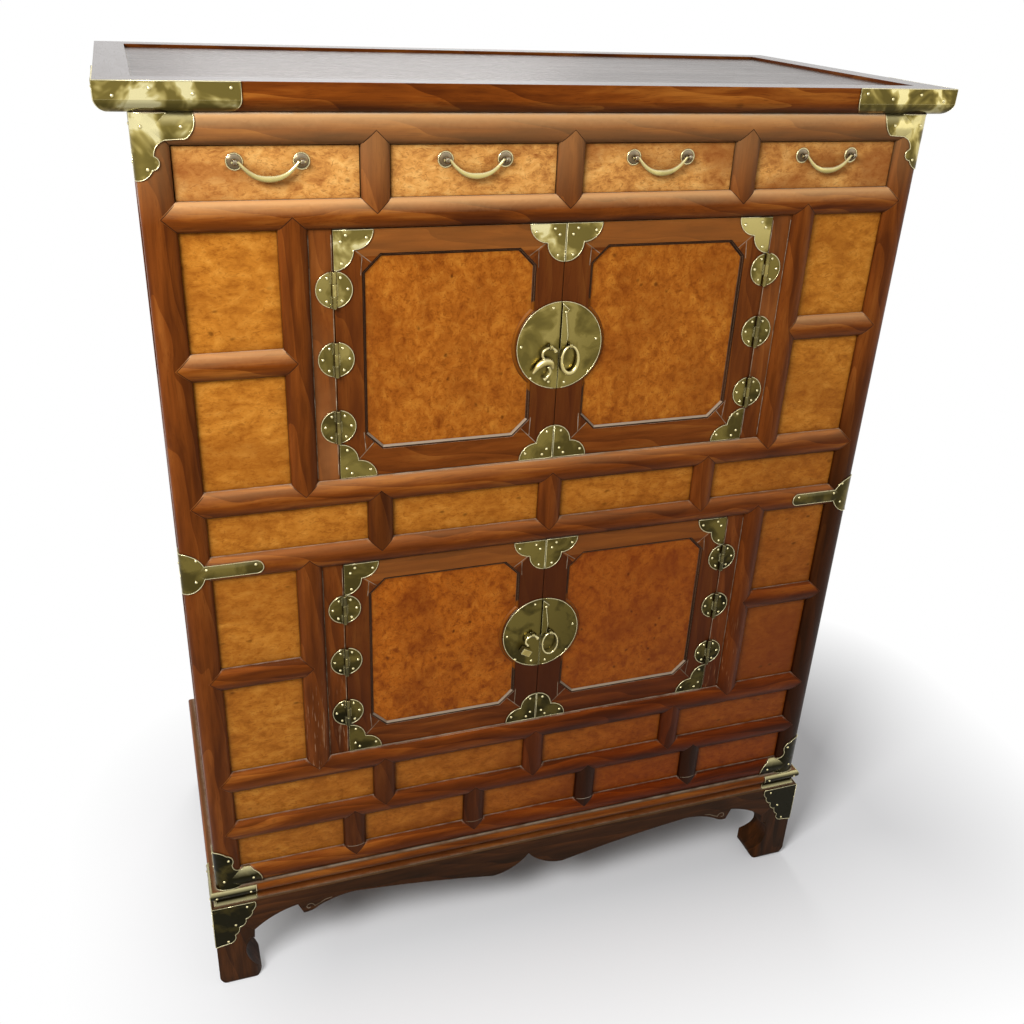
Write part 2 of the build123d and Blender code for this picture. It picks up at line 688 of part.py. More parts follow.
def aprons():
    """Front, rear, right and left aprons, mitred together at the corners."""
    slab = Rectangle(APRON_THICKNESS, APRON_TOP, align=(Align.MIN, Align.MIN))
    ring = mitred_ring(*PLINTH, slab, APRON_THICKNESS)
    half_depth = (PLINTH_BACK - PLINTH_FRONT) / 2
    middle_y = (PLINTH_BACK + PLINTH_FRONT) / 2
    shapes = []
    for member, cutout, half in (
        (ring[0], front_cutout(), PLINTH_HALF),
        (ring[1], back_cutout(), PLINTH_HALF),
        (ring[2], side_cutout(half_depth), half_depth),
        (ring[3], side_cutout(half_depth), half_depth),
    ):
        for face in (cutout, end_cut(half)):
            for drawn in (face, mirror(face, about=Plane.YZ)):
                if half == PLINTH_HALF:
                    member -= plate(drawn, PLINTH_FRONT - 1, PLINTH_BACK + 1)
                else:
                    cutter = side_plate(drawn, -PLINTH_HALF - 1, PLINTH_HALF + 1)
                    member -= Pos(0, middle_y, 0) * cutter
        shapes.append(member)
    return shapes


apron_front, apron_rear, apron_right, apron_left = aprons()
write("apron_front", apron_front)
write("aprons_side_rear", apron_right, apron_left, apron_rear)


def leg_profile(heel):
    """Outline of a leg seen square on: (inward distance from the corner, z)."""
    knee = LEG_CUSP - FOOT_BELOW_CUSP
    inner = Spline(
        (LEG_WIDTH - 1, knee),
        (ANKLE_WIDTH + 4, (knee + ANKLE_HEIGHT) / 2 + 4),
        (ANKLE_WIDTH, ANKLE_HEIGHT),
        ((ANKLE_WIDTH + TOE_WIDTH) / 2 - 2, (ANKLE_HEIGHT + TOE_HEIGHT) / 2 - 3),
        (TOE_WIDTH, TOE_HEIGHT),
    )
    sole, rise = TOE_WIDTH - TOE_ROUND, HEEL_STEEP * heel
    toe = ThreePointArc((TOE_WIDTH, TOE_HEIGHT), (TOE_WIDTH - 0.1 * TOE_ROUND, 0.4 * TOE_HEIGHT), (sole, 0))
    return make_face(
        Line((0, APRON_TOP), (0, rise))
        + ThreePointArc((heel, 0), (0.3 * heel, 0.28 * rise), (0, rise))
        + Line((heel, 0), (sole, 0))
        + toe
        + inner
        + Polyline((LEG_WIDTH - 1, knee), (LEG_WIDTH, LEG_CUSP), (LEG_WIDTH, APRON_TOP), (0, APRON_TOP))
    )


def leg_plan():
    """Plan of the foot: the toes are rounded back from the two show faces."""
    reach = TOE_WIDTH + TOE_SPREAD
    toe_start, toe_stop = 0.7 * TOE_WIDTH, 0.4 * TOE_WIDTH
    inside = reach - TOE_CORNER
    turn = reach - 0.3 * TOE_CORNER
    return make_face(
        Line((0, 0), (toe_start, 0))
        + ThreePointArc((toe_start, 0), (reach - 4, 8), (reach, toe_stop))
        + Line((reach, toe_stop), (reach, inside))
        + ThreePointArc((reach, inside), (turn, turn), (inside, reach))
        + Line((inside, reach), (toe_stop, reach))
        + ThreePointArc((toe_stop, reach), (8, reach - 4), (0, toe_start))
        + Line((0, toe_start), (0, 0))
    )


def corner_leg():
    """Left front leg: a scrolled profile on the front and on the side."""
    front_view = extrude(Plane.XZ * leg_profile(SIDE_HEEL), -TOE_WIDTH - LEG_WIDTH)
    side_view = extrude(Plane.YZ * leg_profile(FRONT_HEEL), TOE_WIDTH + LEG_WIDTH)
    foot_split = LEG_CUSP - FOOT_BELOW_CUSP
    foot = extrude(leg_plan(), foot_split)
    head = block((0, LEG_WIDTH), (0, LEG_WIDTH), (foot_split, APRON_TOP))
    return Pos(-PLINTH_HALF, PLINTH_FRONT, 0) * (front_view & side_view & (foot + head))


def legs():
    """Four legs, each fitted under and behind the two aprons that meet on it."""
    front_left = corner_leg() - apron_front - apron_left
    middle_y = (PLINTH_BACK + PLINTH_FRONT) / 2
    rear_left = mirror(corner_leg(), about=Plane.XZ.offset(-middle_y)) - apron_rear - apron_left
    return front_left, flipped(front_left), rear_left, flipped(rear_left)


write("legs", *legs())


# ----------------------------------------------------------------------------- doors
def hinge_levels(tier):
    """Heights of the three hinges of a door."""
    low, high = TIERS[tier]
    return low + HINGE_MARGIN, middle((low, high)) + 2, high - HINGE_MARGIN + 2


def door_limits(tier):
    """Right-hand door's edges, clear of the frame round it."""
    low, high = TIERS[tier]
    return (DOOR_SEAM / 2, HINGE_X - DOOR_GAP / 2), (low + DOOR_GAP, high - DOOR_GAP)


def lock_height(tier):
    """Height of the lock plates' centre."""
    return TIERS[tier][0] + LOCK_RISE


def panel_outline(tier):
    """Opening of the right-hand door: cut corners, and a bite that backs the lock plate."""
    (x_low, x_high), (z_low, z_high) = door_limits(tier)
    left, right = x_low + DOOR_INNER_STILE, x_high - DOOR_OUTER_STILE
    foot, head = z_low + DOOR_BOTTOM_RAIL, z_high - DOOR_TOP_RAIL
    cut = PANEL_CORNER
    octagon = Polyline(
        (left + cut, foot),
        (right - cut, foot),
        (right, foot + cut),
        (right, head - cut),
        (right - cut, head),
        (left + cut, head),
        (left, head - cut),
        (left, foot + cut),
        close=True,
    )
    bite = Pos(0, lock_height(tier)) * Circle(LOCK_RADIUS + LOCK_LAND)
    return make_face(octagon) - bite


def door_frame(tier):
    """Four boards of the right-hand door, mitred at the corners."""
    (x_low, x_high), (z_low, z_high) = door_limits(tier)
    opening = panel_outline(tier)
    plan = Polyline(
        (x_low, FACE),
        (x_high, FACE),
        (x_high, FACE + DOOR_THICKNESS),
        (x_low + MEETING_BEVEL, FACE + DOOR_THICKNESS),
        (x_low, FACE + MITRE_DEPTH),
        close=True,
    )
    whole = Pos(0, 0, z_low) * extrude(make_face(plan), z_high - z_low)
    whole -= plate(opening, FACE - 1, FACE + DOOR_THICKNESS + 1)
    rebate = FACE + DOOR_PANEL_SET + DOOR_PANEL_THICKNESS
    whole -= plate(offset(opening, DOOR_REBATE), rebate, FACE + DOOR_THICKNESS + 1)
    reach = (x_high - x_low) / 2
    foot = Polyline((x_low, z_low), (x_high, z_low), (x_low + reach, z_low + reach), close=True)
    head = Polyline((x_low, z_high), (x_high, z_high), (x_low + reach, z_high - reach), close=True)
    ends = [plate(make_face(line), FACE - 1, FACE + DOOR_THICKNESS + 1) for line in (foot, head)]
    stiles = whole - ends[0] - ends[1]
    return (whole & ends[0]).solids() + (whole & ends[1]).solids() + stiles.solids()


def door_panel(tier):
    """Figured panel of the right-hand door, flanged to seat in the frame's rebate."""
    opening = panel_outline(tier)
    front, back = FACE + DOOR_PANEL_SET, FACE + DOOR_PANEL_SET + DOOR_PANEL_THICKNESS
    flange = plate(offset(opening, DOOR_REBATE), back, back + DOOR_PANEL_FLANGE)
    return plate(opening, front, back) + flange


def panel_bead(tier):
    """Sloping bead that frames the panel of the right-hand door."""
    opening = panel_outline(tier)
    seat = FACE + DOOR_PANEL_SET
    strip = plate(opening, seat - BEAD_PROUD, seat)
    inner = Plane.XZ.offset(-seat) * offset(opening, -BEAD_WIDTH)
    return strip - extrude(inner, BEAD_PROUD, taper=-BEAD_SLOPE)


def quatrefoil_corner(x, z, toward_x, toward_z):
    """Quarter of a quatrefoil plate that fills a door corner, two lobes either side of a cusp."""
    lobe = CORNER_LOBE
    outline = make_face(
        Line((0, 0), (0, 2 * lobe))
        + ThreePointArc((0, 2 * lobe), (lobe * sin(radians(45)), lobe + lobe * cos(radians(45))), (lobe, lobe))
        + ThreePointArc((lobe, lobe), (lobe + lobe * cos(radians(45)), lobe * sin(radians(45))), (2 * lobe, 0))
        + Line((2 * lobe, 0), (0, 0))
    )
    if toward_x < 0:
        outline = mirror(outline, about=Plane.YZ)
    if toward_z < 0:
        outline = mirror(outline, about=Plane.XZ)
    return plate(Pos(x, z) * outline, FACE - BRASS, FACE)


def hinge_leaf(height, toward, knuckles):
    """Half-round leaf with its knuckles, right-hand hinge line.

    toward is +1 for the leaf on the frame and -1 for the leaf on the door.
    """
    clear = BARREL_RADIUS + KNUCKLE_GAP
    disc = Pos(HINGE_X, height) * Circle(HINGE_RADIUS)
    near = HINGE_RADIUS + clear / 2
    half_plane = Pos(HINGE_X + toward * (clear / 2 + near), height) * Rectangle(2 * near, 3 * HINGE_RADIUS)
    leaf = plate(disc & half_plane, FACE - BRASS, FACE)
    third = 2 * HINGE_RADIUS / 3
    for index in range(3):
        low = height - HINGE_RADIUS + index * third
        span = (low + KNUCKLE_GAP / 2, low + third - KNUCKLE_GAP / 2)
        if index in knuckles:
            knuckle = Pos(HINGE_X, HINGE_Y, middle(span)) * Cylinder(BARREL_RADIUS, span[1] - span[0])
            root_x = tuple(sorted((HINGE_X + toward * 0.5, HINGE_X + toward * (clear + 1))))
            leaf += knuckle + block(root_x, (FACE - 2 * BRASS, FACE), span)
        else:
            gap_x = (HINGE_X - clear, HINGE_X + clear)
            leaf -= block(gap_x, (FACE - 2 * BRASS, FACE), (low - KNUCKLE_GAP / 2, low + third + KNUCKLE_GAP / 2))
    bar_length = 2 * HINGE_RADIUS
    if 1 in knuckles:
        return leaf - Pos(HINGE_X, HINGE_Y, height) * Cylinder(PIN_RADIUS + PIN_CLEARANCE, bar_length)
    return leaf + Pos(HINGE_X, HINGE_Y, height) * Cylinder(PIN_RADIUS, bar_length - KNUCKLE_GAP)


LOCK_FRONT = FACE - BRASS
RING_Y = LOCK_FRONT - RING_REACH


def ear(x, y, z, wall_y, bore):
    """Eye on a short shank: the hole runs left to right."""
    shank = block((x - EAR_WIDTH / 2, x + EAR_WIDTH / 2), (y, wall_y), (z - EAR_WIDTH / 2, z + EAR_WIDTH / 2))
    head = Pos(x, y, z) * Rot(0, 90, 0) * Cylinder(EAR_RADIUS, EAR_WIDTH)
    return shank + head - Pos(x, y, z) * Rot(0, 90, 0) * Cylinder(bore, 2 * EAR_WIDTH)


def lock_half(tier, strap):
    """Right half of the round lock plate, its riveted eye and, on one door, the upright strap."""
    height = lock_height(tier)
    seam = DOOR_SEAM / 2
    half_plane = Pos(seam + LOCK_RADIUS, height) * Rectangle(2 * LOCK_RADIUS, 3 * LOCK_RADIUS)
    half = plate((Pos(0, height) * Circle(LOCK_RADIUS)) & half_plane, LOCK_FRONT, FACE)
    bore = RINGS[tier][2] / 2 + RING_CLEARANCE
    pieces = [half, ear(RING_OFFSET, RING_Y, height, LOCK_FRONT, bore)]
    if strap:
        foot, head = height - STRAP_DROP, height + LOCK_RADIUS - STRAP_MARGIN
        bar = Polyline(
            (seam, foot),
            (seam + STRAP_WIDTH * 0.8, foot),
            (seam + STRAP_WIDTH, foot + 2 * STRAP_WIDTH),
            (seam + STRAP_WIDTH * 0.55, head - 1.3 * STRAP_WIDTH),
            (seam + STRAP_WIDTH, head - 0.9 * STRAP_WIDTH),
            (seam, head),
            close=True,
        )
        pieces.append(plate(make_face(bar), LOCK_FRONT - STRAP_PROUD, LOCK_FRONT))
    return pieces


def door_brass(tier, strap):
    """All brass fixed on the right-hand door: corners, hinge leaves and half lock plate."""
    (x_low, x_high), (z_low, z_high) = door_limits(tier)
    pieces = [
        quatrefoil_corner(x_low, z_low, 1, 1),
        quatrefoil_corner(x_low, z_high, 1, -1),
        quatrefoil_corner(x_high, z_low, -1, 1),
        quatrefoil_corner(x_high, z_high, -1, -1),
    ]
    leaves = [hinge_leaf(height, -1, (1,)) for height in hinge_levels(tier)]
    return pieces + lock_half(tier, strap) + leaves


def hanging_loop(x, height, width, drop, wire):
    """Oval wire loop that hangs from a point, bent round left to right."""
    half_x, half_z = (width - wire) / 2, (drop - wire) / 2
    plane = Plane((x, RING_Y, height - half_z), x_dir=(1, 0, 0), z_dir=(0, -1, 0))
    path = plane * Ellipse(half_x, half_z).wire()
    start = Plane(path @ 0, z_dir=path % 0)
    return sweep(start * Circle(wire / 2), path=path)


def ring_pull(tier):
    """Oval ring that hangs in the eye of the right-hand half plate."""
    width, drop, wire = RINGS[tier]
    return hanging_loop(RING_OFFSET, lock_height(tier), width, drop, wire)


def drop_pull(tier):
    """Small link and double-bellied drop that hang in the eye of the left-hand half plate."""
    height = lock_height(tier)
    length, radius, spread = DROPS[tier]
    link = hanging_loop(-RING_OFFSET, height, DROP_LINK_WIDTH, DROP_LINK_HEIGHT, DROP_LINK_WIRE)
    waist = (0.36 * radius, -0.36 * length)
    crown = ThreePointArc((0, 0), (0.62 * radius, -0.16 * length), waist)
    belly = ThreePointArc(waist, (radius, -0.68 * length), (0, -length))
    profile = make_face(crown + belly + Line((0, -length), (0, 0)))
    body = scale(revolve(Plane.XZ * profile, Axis.Z), by=(spread, 1, 1))
    hook = height - DROP_LINK_HEIGHT + 2 * DROP_LINK_WIRE
    return link + Pos(-RING_OFFSET, RING_Y, hook) * body


for tier in TIERS:
    frame_boards = door_frame(tier)
    burl = door_panel(tier)
    write(f"door_{tier}_right_frame", *frame_boards)
    write(f"door_{tier}_left_frame", *[flipped(board) for board in frame_boards])
    bead = panel_bead(tier)
    write(f"door_{tier}_right_panel", burl)
    write(f"door_{tier}_left_panel", flipped(burl))
    write(f"door_{tier}_right_bead", bead)
    write(f"door_{tier}_left_bead", flipped(bead))
    write(f"door_{tier}_right_brass", *door_brass(tier, strap=True))
    write(f"door_{tier}_left_brass", *[flipped(piece) for piece in door_brass(tier, strap=False)])
    write(f"ring_pull_{tier}", ring_pull(tier))
    write(f"drop_pull_{tier}", drop_pull(tier))

frame_leaves = [hinge_leaf(height, 1, (0, 2)) for tier in TIERS for height in hinge_levels(tier)]
write("hinge_leaves", *frame_leaves, *[flipped(leaf) for leaf in frame_leaves])


# --------------------------------------------------------------------------- drawers
DRAWER_FACE = FACE + PANEL_SET
BAIL_Y = DRAWER_FACE - EAR_REACH
BAIL_Z = DRAWER_RAIL[1] + BAIL_RISE


def drawer_box(x):
    """Drawer: front, two sides, back and bottom, as separate boards."""
    front_x = (x[0] + DRAWER_GAP, x[1] - DRAWER_GAP)
    low = DRAWER_RAIL[1] + RUN_GAP
    front_z = (low, TOP_RAIL[0] - DRAWER_GAP)
    wall_z = (low, TOP_RAIL[0] - DRAWER_HEADROOM)
    front_back = DRAWER_FACE + DRAWER_FRONT
    back_y = (FACE + DRAWER_LENGTH - DRAWER_WALL, FACE + DRAWER_LENGTH)
    left_x = (front_x[0], front_x[0] + DRAWER_WALL)
    right_x = (front_x[1] - DRAWER_WALL, front_x[1])
    inner_x = (left_x[1], right_x[0])
    return [
        block(front_x, (DRAWER_FACE, front_back), front_z),
        block(left_x, (front_back, back_y[1]), wall_z),
        block(right_x, (front_back, back_y[1]), wall_z),
        block(inner_x, back_y, wall_z),
        block(inner_x, (front_back, back_y[0]), (low, low + DRAWER_BOTTOM)),
    ]


def rosette(x):
    """Domed washer with the eye that carries one end of a bail."""
    dome_radius = (ROSETTE_RADIUS**2 + ROSETTE_DOME**2) / (2 * ROSETTE_DOME)
    profile = make_face(
        Line((0, 0), (ROSETTE_RADIUS, 0))
        + RadiusArc((ROSETTE_RADIUS, 0), (0, ROSETTE_DOME), -dome_radius)
        + Line((0, ROSETTE_DOME), (0, 0))
    )
    dome = revolve(Plane.XZ * profile, Axis.Z)
    washer = Pos(x, DRAWER_FACE, BAIL_Z) * Rot(90, 0, 0) * dome
    return washer + ear(x, BAIL_Y, BAIL_Z, DRAWER_FACE, BAIL_THIN / 2 + EAR_CLEARANCE)


def bail(x):
    """Swinging handle: a crescent, deep at the belly, thin at the pins that turn in the two eyes."""
    half = BAIL_SPAN / 2
    neck = half - EAR_WIDTH / 2 - NECK_GAP
    pin_end = half + EAR_WIDTH / 2 + 2
    plane = Plane((x, BAIL_Y, BAIL_Z), x_dir=(1, 0, 0), z_dir=(0, -1, 0))
    path = plane * Spline((-neck, 0), (0, -BAIL_DROP), tangents=[(0.8, -1), (1, 0)])
    start, stop = [Plane(path @ end, x_dir=(0, 1, 0), z_dir=path % end) for end in (0, 1)]
    ends = [start * Circle(BAIL_THIN / 2), stop * Ellipse(BAIL_DEPTH / 2, BAIL_BELLY / 2)]
    arm = sweep(ends, path=path, multisection=True)
    pin = Pos(x - (neck + pin_end) / 2, BAIL_Y, BAIL_Z) * Rot(0, 90, 0)
    one_side = arm + pin * Cylinder(BAIL_THIN / 2, pin_end - neck)
    one_side += Pos(x - neck, BAIL_Y, BAIL_Z) * Sphere(BAIL_THIN / 2)
    return one_side + mirror(one_side, about=Plane.YZ.offset(x))


for number, x in enumerate(columns(FOUR), start=1):
    centre = middle(x)
    write(f"drawer_{number}", *drawer_box(x))
    write(f"drawer_{number}_rosettes", rosette(centre - BAIL_SPAN / 2), rosette(centre + BAIL_SPAN / 2))
    write(f"drawer_{number}_bail", bail(centre))


# --------------------------------------------------------------------- corner fittings
HEAD_SCALLOPS = [
    ((0.16, 0.955), (0.28, 0.83)),
    ((0.40, 0.73), (0.32, 0.62)),
    ((0.40, 0.455), (0.55, 0.395)),
    (None, (0.85, 0.38)),
    ((0.985, 0.23), (1.0, 0)),
]
FOOT_SCALLOPS = [
    ((0.16, 0.985), (0.26, 0.915)),
    ((0.40, 0.80), (0.385, 0.64)),
    ((0.42, 0.515), (0.565, 0.43)),
    ((0.725, 0.47), (0.84, 0.385)),
    ((0.985, 0.255), (1.0, 0)),
]
LEG_SCALLOPS = [
    ((1.0, 0.13), (0.92, 0.225)),
    ((0.885, 0.33), (0.75, 0.395)),
    ((0.735, 0.50), (0.585, 0.58)),
    ((0.565, 0.685), (0.465, 0.765)),
    ((0.45, 0.895), (0.285, 0.96)),
]


def scalloped(corner, start, reach, rise, scallops):
    """Run of arcs from a start point; the scallops are (bulge, end) shares of reach and rise."""
    def point(share):
        return corner[0] + share[0] * reach, corner[1] + share[1] * rise

    edge = []
    for bulge, end in scallops:
        stop = point(end)
        edge.append(ThreePointArc(start, point(bulge), stop) if bulge else Line(start, stop))
        start = stop
    return edge, start


def corner_outline(height, rise, reach, scallops):
    """Outline in (x, z) from the outer face of the left post to a scalloped inner edge."""
    left = -HALF_BODY - BRASS
    corner = (-HALF_BODY, height)
    start = (-HALF_BODY, height + rise)
    edge, end = scalloped(corner, start, reach, rise, scallops)
    outer = Polyline(corner, (left, height), (left, height + rise), start)
    return make_face([outer, *edge, Line(end, corner)])


def skin_over(bar, outline):
    """Thin plate that follows the front of one bar inside an outline in (x, z)."""
    along, centre, low, high, width = bar
    skin = bar_front(along, centre, low, high, width, BRASS) - bar_front(along, centre, low, high, width)
    return skin & plate(outline, FACE - 2 * CREST, MITRE_IN)


def wrapped_skin(rail_bar, outline, side):
    """Thin plate over the left post and one rail, turned back along the side of the post."""
    tips = bar_outline(*rail_bar)
    post_bar = ("z", -POST_X, BASE_HEIGHT, BODY_TOP, POST_WIDTH)
    post_half = Pos(-HALF_BODY - BRASS, BODY_TOP / 2) * Rectangle(2 * (POST_WIDTH + BRASS), 2 * BODY_TOP)
    over_post = skin_over(post_bar, (outline & post_half) - tips)
    over_rail = skin_over(rail_bar[:5], outline & tips)
    return over_post + over_rail + side_plate(side, -HALF_BODY - BRASS, -HALF_BODY)


def waist_strap():
    """Half disc round the left post with a strip along the waist rail."""
    bar = long_rail(WAIST_RAIL)
    z, radius = bar[1], WAIST_DISC
    length = WAIST_STRIP_TIP - WAIST_STRIP_HALF
    strip = Pos(-HALF_BODY + length / 2, z) * Rectangle(length, 2 * WAIST_STRIP_HALF)
    strip += Pos(-HALF_BODY + length, z) * Circle(WAIST_STRIP_HALF)
    left = Pos(-HALF_BODY - BRASS / 2, z) * Rectangle(BRASS, 2 * radius)
    disc = (Pos(-HALF_BODY, z) * Circle(radius)) & (Pos(0, z) * Rectangle(2 * HALF_BODY, 2 * radius))
    side = (Pos(MITRE_IN, z) * Circle(radius)) & (Pos(MITRE_IN + radius, z) * Rectangle(2 * radius, 2 * radius))
    return wrapped_skin(bar, disc + left + strip, side)


def side_outline(height, drop, width):
    """Outline in (y, z) of a corner plate's turned-back side, rounded at its free end."""
    knee = 0.8 * drop
    edge = Polyline((MITRE_IN, height + drop), (MITRE_IN, height), (MITRE_IN + width, height))
    edge += Line((MITRE_IN + width, height), (MITRE_IN + width, height + knee / 2))
    bulge = (MITRE_IN + 0.78 * width, height + 0.86 * drop)
    edge += ThreePointArc((MITRE_IN + width, height + knee / 2), bulge, (MITRE_IN, height + drop))
    return make_face(edge)


def head_bracket():
    """L-shaped plate at the head of the left post, with a scalloped inner edge."""
    outline = corner_outline(BODY_TOP, -HEAD_PLATE_DROP, HEAD_PLATE_REACH, HEAD_SCALLOPS)
    side = side_outline(BODY_TOP, -HEAD_PLATE_DROP, HEAD_PLATE_SIDE)
    return wrapped_skin(long_rail(TOP_RAIL), outline, side)


def foot_bracket():
    """Scalloped quarter plate over the foot of the left post and the foot rail."""
    outline = corner_outline(BASE_HEIGHT, FOOT_PLATE_RISE, FOOT_PLATE_REACH, FOOT_SCALLOPS)
    side = side_outline(BASE_HEIGHT, FOOT_PLATE_RISE, FOOT_PLATE_SIDE)
    return wrapped_skin(long_rail(FOOT_RAIL), outline, side)


def ring_skin(section, width, base, region):
    """Thin plate that follows a mitred ring's outer edge, inside a region."""
    half_x, y_front, y_back = base
    grown = mitred_ring(half_x + BRASS, y_front - BRASS, y_back + BRASS, section, width)
    plain = mitred_ring(half_x, y_front, y_back, section, width)
    pieces = [(grown[index] & region) - plain[index] for index in (0, 3)]
    return pieces[0] - plain[3] + (pieces[1] - plain[0])


def top_cap():
    """Cap round the left front corner of the top board, rounded below at its two ends."""
    left, front = -TOP_HALF - BRASS, TOP_FRONT - BRASS
    face = RectangleRounded(2 * TOP_CAP_REACH, 2 * TOP_THICKNESS, TOP_CAP_CORNER)
    front_region = plate(Pos(left, TOP_Z) * face, front, TOP_FRONT + TOP_EDGE_UNDERCUT)
    side_region = side_plate(Pos(front, TOP_Z) * face, left, -TOP_HALF + TOP_EDGE_UNDERCUT)
    skin = ring_skin(
        top_section(), TOP_FRAME_WIDTH, (TOP_HALF, TOP_FRONT, TOP_BACK), front_region + side_region
    )
    return skin


def moulding_cap():
    """Cap round the left front corner of the base moulding."""
    left, front = -PLINTH_HALF - BRASS, PLINTH_FRONT - BRASS
    reach, depth = MOULDING_CAP_REACH, MOULDING_CAP_DEPTH
    tall = (APRON_TOP, BASE_HEIGHT)
    region = block((left, left + reach), (front, PLINTH_FRONT + depth), tall)
    region += block((left, -PLINTH_HALF + depth), (front, front + reach), tall)
    return ring_skin(moulding_section(), MOULDING_WIDTH, PLINTH, region)


def leg_plate_outline():
    """Scalloped triangle on a leg: (inward distance from the corner, z)."""
    top = APRON_TOP - LEG_PLATE_EDGE
    low = top - LEG_PLATE_DROP
    start = (LEG_PLATE_REACH, top)
    edge, end = scalloped((0, top), start, LEG_PLATE_REACH, -LEG_PLATE_DROP, LEG_SCALLOPS)
    return make_face([Polyline((0, low), (-BRASS, low), (-BRASS, top), start), *edge, Line(end, (0, low))])


def leg_plate():
    """Scalloped plates on the front and side of the left front leg, joined at the corner."""
    outline = leg_plate_outline()
    front = Pos(-PLINTH_HALF, 0, 0) * plate(outline, PLINTH_FRONT - BRASS, PLINTH_FRONT)
    side = Pos(0, PLINTH_FRONT, 0) * side_plate(outline, -PLINTH_HALF - BRASS, -PLINTH_HALF)
    return front + side


left_brass = [top_cap(), head_bracket(), waist_strap(), foot_bracket(), moulding_cap(), leg_plate()]
write("corner_brass", *left_brass, *[flipped(piece) for piece in left_brass])
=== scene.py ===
# %% [markdown]
# # A Korean two-tier chest, dressed in Blender
# The joinery, doors, drawers and hinges already exist as solids with real joints. This notebook gives
# every surface its material, adds the small fastenings, and sets up light and camera. First we load
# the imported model, because every later piece is placed by measuring it.

import math
from types import SimpleNamespace

import bmesh
import bpy
from mathutils import Matrix, Vector
from mathutils.bvhtree import BVHTree
from mathutils.geometry import interpolate_bezier


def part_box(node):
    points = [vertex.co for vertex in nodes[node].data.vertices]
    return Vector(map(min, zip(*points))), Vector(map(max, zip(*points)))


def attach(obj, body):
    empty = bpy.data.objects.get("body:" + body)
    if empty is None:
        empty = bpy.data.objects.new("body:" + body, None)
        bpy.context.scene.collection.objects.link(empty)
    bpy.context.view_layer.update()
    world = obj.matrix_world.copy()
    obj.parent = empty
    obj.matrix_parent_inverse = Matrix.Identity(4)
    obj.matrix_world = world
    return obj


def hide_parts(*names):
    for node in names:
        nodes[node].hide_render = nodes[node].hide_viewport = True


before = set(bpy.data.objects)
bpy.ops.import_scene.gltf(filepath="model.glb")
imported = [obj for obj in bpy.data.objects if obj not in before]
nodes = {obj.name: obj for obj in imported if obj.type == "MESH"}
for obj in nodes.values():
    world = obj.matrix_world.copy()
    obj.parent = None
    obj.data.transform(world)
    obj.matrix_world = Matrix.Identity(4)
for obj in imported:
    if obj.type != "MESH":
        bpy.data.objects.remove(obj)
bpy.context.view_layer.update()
MM = 0.001

# %% [markdown]
# ## Where things are
# The two door tiers, in millimetres, and the front face of the flat woodwork are measured from the
# solids, so that the fastenings stay on the wood if a size ever changes.

# %% Measure the main levels
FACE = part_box("door_lower_right_frame")[0].y
TIERS = {}
for tier in ("lower", "upper"):
    low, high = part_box(f"door_{tier}_right_frame")
    TIERS[tier] = (low.z / MM - 1, high.z / MM + 1)
SIDES = (("left", -1), ("right", 1))
DOORS = [(f"door_{tier}_{side}", tier, side, sign) for tier in TIERS for side, sign in SIDES]
print("face at", round(FACE, 4), "tiers", TIERS)

# %% [markdown]
# ## The camera
# The chest is seen from a standing height, a little to the left. The directions below were worked out
# from the straight edges of the front. They form the columns of the camera's matrix: right, up, and
# backwards (a camera looks along its own minus Z).

# %% Set up the camera
eye = Vector((-0.4761, FACE - 1.1713, 1.3774))
right = Vector((0.94642, -0.32008, 0.04292))
forward = Vector((0.30344, 0.83587, -0.45743))
up = right.cross(forward)
turn = Matrix((right, up, -forward)).transposed()
camera_data = bpy.data.cameras.new("camera")
camera_data.lens = 37.65
camera_data.sensor_width = 36.0
camera = bpy.data.objects.new("camera", camera_data)
camera.matrix_world = Matrix.Translation(eye) @ turn.to_4x4()
show = bpy.context.scene.collection.objects.link
show(camera)
bpy.context.scene.camera = camera
bpy.context.scene.view_settings.view_transform = "Standard"
print("camera at", [round(c, 3) for c in eye])

# %% [markdown]
# ## Helpers for wiring nodes
# A material is a little circuit. These helpers add one node at a time, so that the recipes below read
# from the surface's idea to its shader. A socket knows the tree it belongs to, so most helpers need
# no tree. Colours are picked as a screen shows them and turned into the linear light Blender mixes.

# %% Wiring helpers
def screen(*channels):
    """A colour as a screen shows it, 0 to 255, in linear light."""
    shares = [channel / 255 for channel in channels]
    return (*(v / 12.92 if v <= 0.04045 else ((v + 0.055) / 1.055) ** 2.4 for v in shares), 1.0)


def wire(sockets, values):
    """Give sockets either links or plain values."""
    for key, value in values.items():
        socket = sockets[key]
        if isinstance(value, bpy.types.NodeSocket):
            socket.id_data.links.new(value, socket)
        else:
            socket.default_value = value


def add(kind, values=None, tree=None, **settings):
    """Add a shader node, by default to the tree of its first link."""
    values = values or {}
    links = (value for value in values.values() if isinstance(value, bpy.types.NodeSocket))
    node = (tree or next(links).id_data).nodes.new("ShaderNode" + kind)
    for key, value in settings.items():
        setattr(node, key, value)
    wire(node.inputs, values)
    return node


def arithmetic(operation, kind="Math", output=0):
    """A function that adds one step of arithmetic."""
    return lambda *values: add(kind, dict(enumerate(values)), operation=operation).outputs[output]


times, plus, minus, over = map(arithmetic, ("MULTIPLY", "ADD", "SUBTRACT", "DIVIDE"))
less, more, larger, absolute = map(arithmetic, ("LESS_THAN", "GREATER_THAN", "MAXIMUM", "ABSOLUTE"))
scaled, moved, apart = (arithmetic(name, "VectorMath") for name in ("MULTIPLY", "ADD", "SUBTRACT"))
length, product = (arithmetic(name, "VectorMath", "Value") for name in ("LENGTH", "DOT_PRODUCT"))


